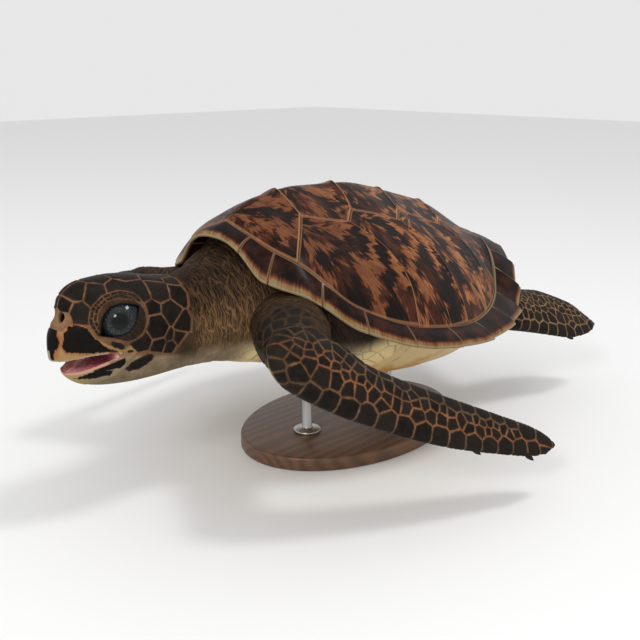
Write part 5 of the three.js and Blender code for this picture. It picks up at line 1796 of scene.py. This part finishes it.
class Skin:
    """What is worked out for each place of the skin. under is the colour of its soft skin."""

    def __init__(self, mesh, head):
        self.head = head
        self.points, self.out = positions(mesh), normals(mesh)
        self.p, self.side = mirrored_points(self.points)
        self.part = fields_at(self.points).argmin(1)
        self.on_head = self.part == HEAD
        n = len(self.points)
        self.plate = np.full(n, -BORDER_FAR)
        self.relief, self.tone, self.fold = np.zeros(n), np.zeros(n), np.ones(n)
        self.lines, self.grain = np.full(n, .5), np.zeros((n, 3))
        self.under = np.tile(rgb(88, 76, 64), (n, 1))
        self.tones = np.random.default_rng(SEED).random(TONES)
        self.patchy = hash_noise(self.points, .05, 2)
        self.uneven = self.patchy - .5
        z = self.p[:, 2]
        _, self.middle, top, low = head_section(self.p[:, 1])
        reach = np.where(z > self.middle, top - self.middle, self.middle - low)
        self.height = (z - self.middle) / reach

    def cover(self, share, color):
        """Lays a colour over the soft skin."""
        self.under = mixed(share, self.under, color)

    def run_folds(self, here, along, across):
        """Sets the two directions, in millimetres, that folds and creases follow."""
        self.grain[here] = np.column_stack([along, across, 0 * along])[here]

    def paint_neck(self):
        neck = mixed(smooth(.05, .7, self.height + .3 * self.uneven), rgb(70, 56, 42),
                     rgb(26, 20, 17))
        neck = mixed(smooth(-.2, -.7, self.height + .25 * self.uneven), neck, rgb(136, 121, 100))
        self.under[self.on_head] = neck[self.on_head]
        # Painted shadow of the shell: the neck is made darker towards its rear, where it goes in
        # under the shell.
        self.cover(.5 * smooth(-.47, -.40, self.p[:, 1]) * self.on_head, rgb(40, 33, 28))

    def lay_head_plates(self):
        where = np.flatnonzero(self.on_head & (self.p[:, 1] < -.55))
        owner, border = head_cells(self.points[where])
        is_plate = owner > 0
        signed = np.where(is_plate, border, -border)
        scale, from_ring = lid_scales(self.p[where])
        by_eye = self.head["ring"][where] < .075
        beside_ring = np.where(from_ring > 0, np.minimum(signed, from_ring), scale)
        signed = np.where(by_eye, beside_ring, signed)
        raised = is_plate | (by_eye & (from_ring < 0))
        self.plate[where] = signed
        self.relief[where] = np.where(raised, smooth(.2, 1.9, signed), 0)
        self.tone[where] = self.tones[owner]

    def paint_face(self):
        """The seams of the head, the jaw, the cheek, and what lies round the eye and nostril."""
        head, on_head = self.head, self.on_head
        x, y, z = self.p.T
        front_head = smooth(-.595, -.64, y) * smooth(-.6, -.2, self.height) * on_head
        front_head = front_head * (1 - smooth(-.70, -.66, y) * smooth(1.4, 3.5, -self.plate))
        self.cover(front_head, mixed(self.patchy, rgb(106, 78, 58), rgb(138, 98, 72)))
        jaw_line = np.interp(y, (-.91, -.79, -.756, -.70, -.64), (.058, .0645, .057, .046, .035))
        jaw = on_head * smooth(-.63, -.70, y) * smooth(.004, -.006, z - jaw_line)
        yellow = mixed(smooth(-.80, -.87, y), rgb(138, 122, 98), rgb(158, 136, 84))
        self.cover(jaw, mixed(smooth(.03, -.005, z), yellow, rgb(122, 108, 88)))
        band_z = np.interp(y, (-.83, -.80, -.77), (.092, .082, .072))
        band = on_head * np.exp(-((z - band_z) / .010) ** 2)
        self.cover(band * smooth(-.842, -.825, y) * smooth(-.762, -.775, y), rgb(160, 134, 88))
        ring_skin = smooth(.0425, .039, head["ring"])
        for share, color in (
                (smooth(.0580, .0545, head["ring"]), (116, 84, 60)), (ring_skin, (62, 44, 32)),
                (smooth(.036, .027, head["ring"]), (30, 22, 18)),
                # Near-black where the lid meets the eyeball: painted shade of the gap.
                (np.exp(-((head["opening"] + .2) / 1.1) ** 2), (14, 15, 18)),
                (smooth(4.2, 2.4, head["hole"]), (136, 106, 78)),
                # Near-black in the nostril's pit: painted shade.
                (smooth(1.25, .8, head["hole"]), (8, 7, 7))):
            self.cover(share, rgb(*color))
        for my, mz, long, tall, lean, rag in DARK_MARKS:
            dy, dz = (y - my) / MM, (z - mz) / MM
            along = dy * math.cos(lean) + dz * math.sin(lean)
            across = dz * math.cos(lean) - dy * math.sin(lean)
            ragged = (hash_noise(self.points, .006, 5) - .5) * 3 * rag
            inside = (1 - np.hypot(along / long, across / tall)) * tall + ragged
            self.plate = np.where(on_head, np.maximum(self.plate, inside), self.plate)
        soft_head = smooth(-.64, -.60, y)
        self.fold = np.where(on_head, soft_head * .9 + .5 * jaw + .3 * ring_skin, self.fold)
        lit = .22 + .6 * np.exp(-((self.height - .1) / .45) ** 2)
        self.lines = np.where(on_head, lit, self.lines)
        turn = np.arctan2(z - self.middle, x)
        self.run_folds(on_head, y / MM, turn * .13 / MM * self.side)

    def paint_body(self):
        """Shoulders, thighs, tail, and the skin between the shells."""
        x, y, z = self.p.T
        for arm, blade, limb, shift in ((ARM, BLADE, front, 300), (THIGH, FOOT, hind, 600)):
            here = (self.part == arm) | (self.part == blade)
            along, across, up = arm_frame(limb)
            d = self.p - np.array(limb["arm"][0][0])
            turn = np.arctan2(d @ up, d @ across)
            self.run_folds(here, d @ along / MM + shift, turn * .08 / MM * self.side)
            pale = smooth(.1, -.75, np.sin(turn) + .4 * self.uneven)
            self.under[here] = mixed(pale, rgb(34, 27, 22), rgb(128, 114, 90))[here]
            self.lines[here] = .28
        here = self.part == TAIL
        self.run_folds(here, y / MM, x * 2 / MM)
        pale = smooth(.2, -.5, (z - tail_height(y)) / .03)
        self.under[here] = mixed(pale, rgb(70, 56, 46), rgb(156, 140, 112))[here]
        here = self.part == CORE
        self.run_folds(here, (y + .7 * z) / MM, (x + .7 * z - .2 * y) / MM)
        self.under[here] = mixed(smooth(.03, -.02, z), rgb(44, 36, 30), rgb(134, 122, 98))[here]
        self.lines[here] = .12
        bridge = smooth(-.28, -.20, y - 1.0 * (z - .03)) * smooth(.26, .18, y)
        bridge = bridge * smooth(.13, .10, z) * here
        throat = smooth(-.53, -.47, y) * smooth(-.3, -.6, self.height + .2 * self.uneven)
        self.bridge = np.maximum(bridge, throat * self.on_head * .85)

    def paint_flipper(self, limb, arm, blade, seeds, reach_at, offset):
        """The plates of a flipper and the skin between them. Offset sets apart its keys."""
        p, part, side = self.p, self.part, self.side
        upper = 1.0 if limb["frame"][3][2] > 0 else -1.0
        begin = ARM_PLATES_FROM[arm]
        along, across, above = in_blade(limb, p)
        lead, trail = limb["lead"](along), limb["trail"](along)
        run = along_arm(limb, p)
        where = np.flatnonzero((part == blade) | ((part == arm) & (run > begin - .07)))
        left = side > 0
        extra = arm_seeds(p[left], part[left], arm, limb, seeds, reach_at, offset)
        owner, border, is_dark = blade_cells(p[where], side[where], seeds, extra, upper, offset)
        uneven = self.uneven[where]
        start = smooth(begin - .035, begin + .02, run[where] + .04 * uneven)
        if limb is front:
            behind = self.out[where, 1] * .75 + self.out[where, 2] * .35
            start = start * smooth(.62, .3, behind + .2 * uneven)
        start = np.where(part[where] == blade, smooth(-.2, -.1, along[where]), start)
        signed = np.where(is_dark > 0, border, -border)
        self.plate[where] = (signed - .1) * start - 2.0 * (1 - start)
        self.relief[where] = smooth(.2, 1.8, border) * start
        self.tone[where] = self.tones[owner]
        self.fold[where] = 1 - start
        share = (across - trail) / np.maximum(lead - trail, .01)
        orange = smooth(.25, .5, share) * smooth(.95, .6, share)
        base = mixed(orange, rgb(104, 82, 61), rgb(138, 90, 60))
        arm_shade = .3 + .55 * smooth(begin + .02, begin + .16, run)
        blade_shade = .6 + .4 * smooth(-.05, .1, along)
        base = base * np.where(part == arm, arm_shade, blade_shade)[:, None]
        if limb is hind:
            base = mixed(.6, base, rgb(150, 124, 88))
        pale = smooth(-.1, -.5, upper * above / limb["thick"](along) * 2)
        base = mixed(pale * (part == blade), base, rgb(160, 142, 100))
        self.under[where] = mixed(start, self.under[where], base[where])

    def raise_relief(self, mesh):
        """Folds that the eye can see in the outline, and the relief of the plates."""
        head, part = self.head, self.part
        fine = hash_noise(self.grain[:, :2] * (.16, .03), 1.0, 4) - .5
        broad = hash_noise(self.grain[:, :2] * (.07, .018), 1.0, 6) - .5
        folded = np.where(self.on_head, smooth(-.65, -.6, self.p[:, 1]),
                          (part == ARM) | (part == THIGH))
        swell = folded * (fine * 1.1 + broad * 2.2) * MM
        plated = (self.relief > 0) | (self.plate > -3)
        swell += (self.relief * .62 - .1) * MM * plated
        swell[(head["depth"] > .8) & head["in_mouth"]] = 0
        swell = np.where(head["opening"] > -.2, 0, swell)
        set_positions(mesh, self.points + self.out * swell[:, None])

    def note_all(self, piece):
        head = self.head
        mouth = np.where(head["in_mouth"], smooth(.7, 1.8, head["depth"]), 0)
        # Depth for the mouth's colour. The roof counts 9 mm deeper, so that its painted shade is
        # darker.
        depth = np.where(head["in_mouth"], head["depth"] + np.where(head["floor"], 0, 9), 0)
        for key in ("plate", "tone", "fold", "lines", "grain", "under"):
            note(piece, key, getattr(self, key))
        for key, values in (("mouth", mouth), ("depth", depth), ("bridge", self.bridge)):
            note(piece, key, values)


coat = Skin(mesh, head)
coat.paint_neck()
coat.lay_head_plates()
coat.paint_face()
coat.paint_body()
coat.paint_flipper(front, ARM, BLADE, front_seeds, arm_reach, 200)
coat.paint_flipper(hind, THIGH, FOOT, hind_seeds, thigh_reach, 1200)
coat.fold[coat.part == CORE] = .5
coat.raise_relief(mesh)
coat.note_all(skin)


# ---------------------------------------------------------------- eyes
EYE_COLUMNS = 96
CORNEA_HEIGHT, CORNEA_REACH = 1.1 * MM, 13 * MM


def eyeball(side):
    """A flattened ball with a raised cornea. It notes the distance and turn about the pupil."""
    rings, radius, turns = [], [], []
    around = 2 * math.pi * np.arange(EYE_COLUMNS) / EYE_COLUMNS
    for a in np.concatenate([np.linspace(0, .5 * math.pi, 44),
                             np.linspace(.55 * math.pi, math.pi, 12)]):
        r = EYE_RADIUS * math.sin(a)
        u, v = r * np.cos(around), r * np.sin(around)
        spot = np.hypot(u - PUPIL_PLACE[0], v - PUPIL_PLACE[1])
        cornea = CORNEA_HEIGHT * np.exp(-(spot / CORNEA_REACH) ** 4) if a < 1.4 else 0
        h = EYE_DEPTH * math.cos(a) + cornea
        place = EYE_CENTRE + np.outer(u, EYE_ACROSS) + np.outer(v, EYE_UP)
        rings.append(place + np.multiply.outer(h * np.ones(EYE_COLUMNS), EYE_GAZE))
        radius.append(spot / MM)
        turns.append(np.column_stack([(u - PUPIL_PLACE[0]), (v - PUPIL_PLACE[1]), 0 * u])
                     / np.maximum(spot, 1e-6)[:, None])
    radius = np.concatenate(radius + [[math.hypot(*PUPIL_PLACE) / MM, 30]])
    turns = np.concatenate(turns + [np.array([(1, 0, 0), (1, 0, 0)])])
    form = solid(loft(rings))
    if side < 0:
        form = mirrored(form)
    name = "eye_left" if side > 0 else "eye_right"
    piece = build(name + "_ball", *form, paints["eye"])
    note(piece, "radius", radius)
    note(piece, "turn", turns)
    return finish_piece(piece, "eye", name)


eyeball(1)
eyeball(-1)


# ---------------------------------------------------------------- beak
# Outlines seen from the side, as (y, z): the two sheaths and their black patches.
upper_beak = ((-.93, .05), (-.93, .128), (-.905, .130), (-.893, .124), (-.880, .134),
              (-.866, .137), (-.852, .130), (-.843, .110), (-.826, .092), (-.806, .077),
              (-.79, .069), (-.80, .060), (-.86, .055), (-.93, .044))
lower_beak = ((-.93, .052), (-.86, .052), (-.83, .055), (-.788, .060), (-.784, .040), (-.800, .02),
              (-.84, .0), (-.86, -.02), (-.93, -.02))
front_patch = ((-.93, .068), (-.93, .128), (-.908, .130), (-.8995, .126), (-.8985, .112),
               (-.9015, .098), (-.905, .084), (-.9095, .066))
cheek_patch = ((-.897, .094), (-.889, .120), (-.878, .131), (-.866, .134), (-.852, .127),
               (-.843, .107), (-.826, .088), (-.802, .0725), (-.82, .0745), (-.857, .0765),
               (-.889, .082))
jaw_patches = (((-.844, .036), (-.828, .047), (-.806, .056), (-.790, .058), (-.784, .048),
                (-.794, .038), (-.815, .034)),
               ((-.872, .021), (-.856, .030), (-.835, .037), (-.808, .033), (-.814, .022),
                (-.84, .018)))
SHEATH_RISE, SHEATH_SINK, SHEATH_DEPTH = .62, .16, .9 * MM


def beak(name, outline, patches, lower):
    """A thin horny sheath over part of the skin, cut from the skin's own faces."""
    points = positions(mesh)
    p, _ = mirrored_points(points)
    plan = p[:, 1:]
    near = np.flatnonzero((p[:, 1] < -.77) & (p[:, 2] < .16))
    region = np.full(len(points), -99.0)
    region[near] = inside_polygon(plan[near], outline) / MM
    depth = head["depth"]
    lip_z = np.interp(p[:, 1], *np.transpose(lower_lip if lower else upper_lip))
    middle = mouth_middle(p[:, 1])
    inside = head["in_mouth"] & (depth > MOUTH_EDGE)
    right_side = (p[:, 2] < middle) if lower else (p[:, 2] >= middle)
    reach_in = 3.2 - depth
    rear = (-.815 - p[:, 1]) / MM
    region = np.where(inside, np.where(right_side, np.minimum(reach_in, rear), -99), region)
    region = np.where(~inside & ~right_side & (p[:, 2] > (0 if lower else -9)), -99, region)
    corners = read(mesh.loops, "vertex_index", 1, np.int32)
    starts = read(mesh.polygons, "loop_start", 1, np.int32)
    sizes = read(mesh.polygons, "loop_total", 1, np.int32)
    kept = []
    for size in np.unique(sizes):
        rows = starts[sizes == size][:, None] + np.arange(size)
        faces = corners[rows]
        kept.append(faces[(region[faces] > 0).all(1)])
    kept = [f for f in kept if len(f)]
    used = np.unique(np.concatenate([f.ravel() for f in kept]))
    index = np.full(len(points), -1)
    index[used] = np.arange(len(used))
    kept = [index[f] for f in kept]
    out = normals(mesh)[used]
    base = points[used]
    rise = (SHEATH_RISE * smooth(0, 1.6, region[used]) - SHEATH_SINK) * MM
    outer = base + out * rise[:, None]
    inner = base - out * SHEATH_DEPTH
    sides = np.concatenate([np.stack([f, np.roll(f, -1, 1)], 2).reshape(-1, 2) for f in kept])
    key = np.sort(sides, 1)
    _, first, count = np.unique(key[:, 0] * len(used) + key[:, 1], return_index=True,
                                return_counts=True)
    rim = sides[first[count == 1]]
    m = len(used)
    wall = np.column_stack([rim[:, 1], rim[:, 0], rim[:, 0] + m, rim[:, 1] + m])
    faces = kept + [f[:, ::-1] + m for f in kept] + [wall]
    patch = np.full(m, -99.0)
    for outline in patches:
        patch = np.maximum(patch, inside_polygon(plan[used], outline) / MM)
    if not lower:
        # The front patch is one strip across the middle of the snout.
        taper = smooth(.1, .066, p[used, 2])
        reach = np.where(points[used, 0] < 0, .0165 + .026 * taper, .0165 - .006 * taper)
        patch = np.where((p[used, 0] < reach) & (p[used, 2] > .0645) & (p[used, 2] < .13),
                         np.maximum(patch, (reach - p[used, 0]) / MM), patch)
    lip = (lip_z[used] - p[used, 2]) / MM if lower else (p[used, 2] - lip_z[used]) / MM
    lip = np.where(inside[used], 0, np.maximum(lip, 0))
    piece = build(name, np.concatenate([outer, inner]), faces, paints["beak"])
    for key, values in (("patch", patch), ("lip", lip), ("lower", np.full(m, float(lower)))):
        note(piece, key, np.concatenate([values, values]))
    return finish_piece(piece, "skin")


beak("beak_upper", upper_beak, (front_patch, cheek_patch), False)
beak("beak_lower", lower_beak, jaw_patches, True)

# ---------------------------------------------------------------- claws
CLAW_RADIUS, CLAW_LENGTH, CLAW_BEND, CLAW_FLATNESS, CLAW_TIP = .0078, .0180, .004, .72, .0002


def claw(name, limb, along, across, side):
    """A short horny cone, bent a little, that grows from the leading edge."""
    _, span, chord, _ = limb["frame"]
    root = on_blade(limb, along, across)
    direction = unit(chord + 1.3 * span)
    bend = unit(span - (span @ direction) * direction)
    cross = np.cross(direction, bend)
    rings = []
    for t in np.linspace(-.6, 1, 22):
        at = root + direction * CLAW_LENGTH * t + bend * CLAW_BEND * max(t, 0) ** 2
        r = CLAW_RADIUS * (1 - max(t, 0) ** 1.6) ** .8 + CLAW_TIP
        rings.append(ring(at, bend, cross, (r, r * CLAW_FLATNESS, r * CLAW_FLATNESS), ROUND, 24))
    form = solid(loft(rings))
    piece = build(name, *(form if side > 0 else mirrored(form)), paints["claw"])
    return finish_piece(piece, "skin")


for word, side in (("left", 1), ("right", -1)):
    for which, limb in (("front", front), ("hind", hind)):
        for k, (along, across) in enumerate(limb["claws"]):
            claw(f"claw_{which}_{word}_{k + 1}", limb, along, across, side)

# ---------------------------------------------------------------- stand
BASE_LENGTH, BASE_WIDTH, BASE_HEIGHT, BASE_BEVEL = .300, .210, .016, .003
ROD_RADIUS, FLANGE_RADIUS, FLANGE_HEIGHT = .006, .016, .005
ROD_STATIONS = {"stand_rod_front": .3, "stand_rod_rear": .62}


def turned(profile, columns, stretch=(1, 1), place=(0, 0)):
    """A solid of revolution, or an oval one, from (inset or radius, height) pairs, in metres."""
    around = 2 * math.pi * np.arange(columns) / columns
    rings = []
    for r, z in profile:
        x = place[0] + (stretch[0] + r) * np.cos(around)
        y = place[1] + (stretch[1] + r) * np.sin(around)
        rings.append(np.column_stack([x, y, np.full(columns, z)]))
    points, faces = solid(loft(np.array(rings)))
    return in_shell(points), faces


corner = [(-BASE_BEVEL * (1 - math.cos(a)), BASE_HEIGHT - BASE_BEVEL * (1 - math.sin(a)))
          for a in np.linspace(0, math.pi / 2, 8)]
base_profile = ([(-.08, 0), (-.03, 0), (-.0025, 0), (-.0008, .0006), (0, .002)]
                + corner + [(-.03, BASE_HEIGHT), (-.06, BASE_HEIGHT), (-.09, BASE_HEIGHT)])
board = turned(base_profile, 180, (BASE_WIDTH / 2, BASE_LENGTH / 2))
piece = build("base_board", *board, paints["wood"])
finish_piece(piece, "wood", "stand_base")
for name, station in ROD_STATIONS.items():
    y = (station - MIDDLE_STATION) * SHELL + FORWARD_SHIFT
    seat = float(bowl_height(0.0, station) + PLASTRON_THICKNESS * .3) * SHELL + RIM_HEIGHT
    low, high = BASE_HEIGHT, BASE_HEIGHT + FLANGE_HEIGHT
    profile = [(.001, low), (FLANGE_RADIUS - .0004, low), (FLANGE_RADIUS, low + .0004),
               (FLANGE_RADIUS, low + .0026), (FLANGE_RADIUS - .0006, low + .0032),
               (FLANGE_RADIUS - .004, low + .0042), (ROD_RADIUS + .002, high - .0004),
               (ROD_RADIUS + .0006, high), (ROD_RADIUS, high + .001),
               (ROD_RADIUS, (high + seat) / 2), (ROD_RADIUS, seat), (.001, seat)]
    rod = turned(profile, 64, (0, 0), (0, y))
    piece = build(name.replace("stand_", "") + "_metal", *rod, paints["metal"])
    finish_piece(piece, "metal", name)


# ---------------------------------------------------------------- stage
FLOOR_HALF, SKY_STRENGTH = 6.0, .8
# Name, place in metres, size in metres and power in watts.
LAMPS = (("key", (1.15, -2.63, 1.8), .55, 28), ("fill", (-2.2, -1.6, 1.4), 2.2, 8),
         ("top", (1.1, .2, 2.42), .45, 18))
LAMP_AIM, CAMERA_AIM = (0, 0, .15), (-.0302, -.0194, .1349)
CAMERA_AZIMUTH, CAMERA_ELEVATION, CAMERA_DISTANCE = math.radians(44.4), math.radians(16.1), 2.39
CAMERA_LENS, CAMERA_SENSOR = 50, 36


def facing(item, place, way):
    """Puts a lamp or camera at a place, looking along a way."""
    item.location = place
    item.rotation_euler = way.to_track_quat("-Z", "Y").to_euler()
    bpy.context.scene.collection.objects.link(item)


def stage():
    """Floor, sky, lamps and the photograph's camera."""
    scene = bpy.context.scene
    floor_mesh = bpy.data.meshes.new("floor")
    h = FLOOR_HALF
    floor_mesh.from_pydata([(-h, -h, 0), (h, -h, 0), (h, h, 0), (-h, h, 0)], [], [(0, 1, 2, 3)])
    floor = bpy.data.objects.new("floor", floor_mesh)
    scene.collection.objects.link(floor)
    cover = Paint("floor", roughness=.7)
    floor_mesh.materials.append(cover.done(rgb(236, 236, 236), .7))
    world = bpy.data.worlds.new("world")
    scene.world = world
    world.use_nodes = True
    sky = world.node_tree.nodes["Background"]
    sky.inputs[0].default_value = (1, 1, 1, 1)
    sky.inputs[1].default_value = SKY_STRENGTH
    scene.view_settings.view_transform = "Standard"
    for name, place, size, power in LAMPS:
        lamp = bpy.data.lights.new(name, "AREA")
        lamp.energy = power
        lamp.size = size
        facing(bpy.data.objects.new(name, lamp), place, Vector(LAMP_AIM) - Vector(place))
    camera = bpy.data.cameras.new("camera")
    camera.lens, camera.sensor_width = CAMERA_LENS, CAMERA_SENSOR
    level = math.cos(CAMERA_ELEVATION)
    away = Vector((math.sin(CAMERA_AZIMUTH) * level, -math.cos(CAMERA_AZIMUTH) * level,
                   math.sin(CAMERA_ELEVATION)))
    scene.camera = bpy.data.objects.new("camera", camera)
    facing(scene.camera, Vector(CAMERA_AIM) + away * (CAMERA_DISTANCE * SHELL), -away)


stage()
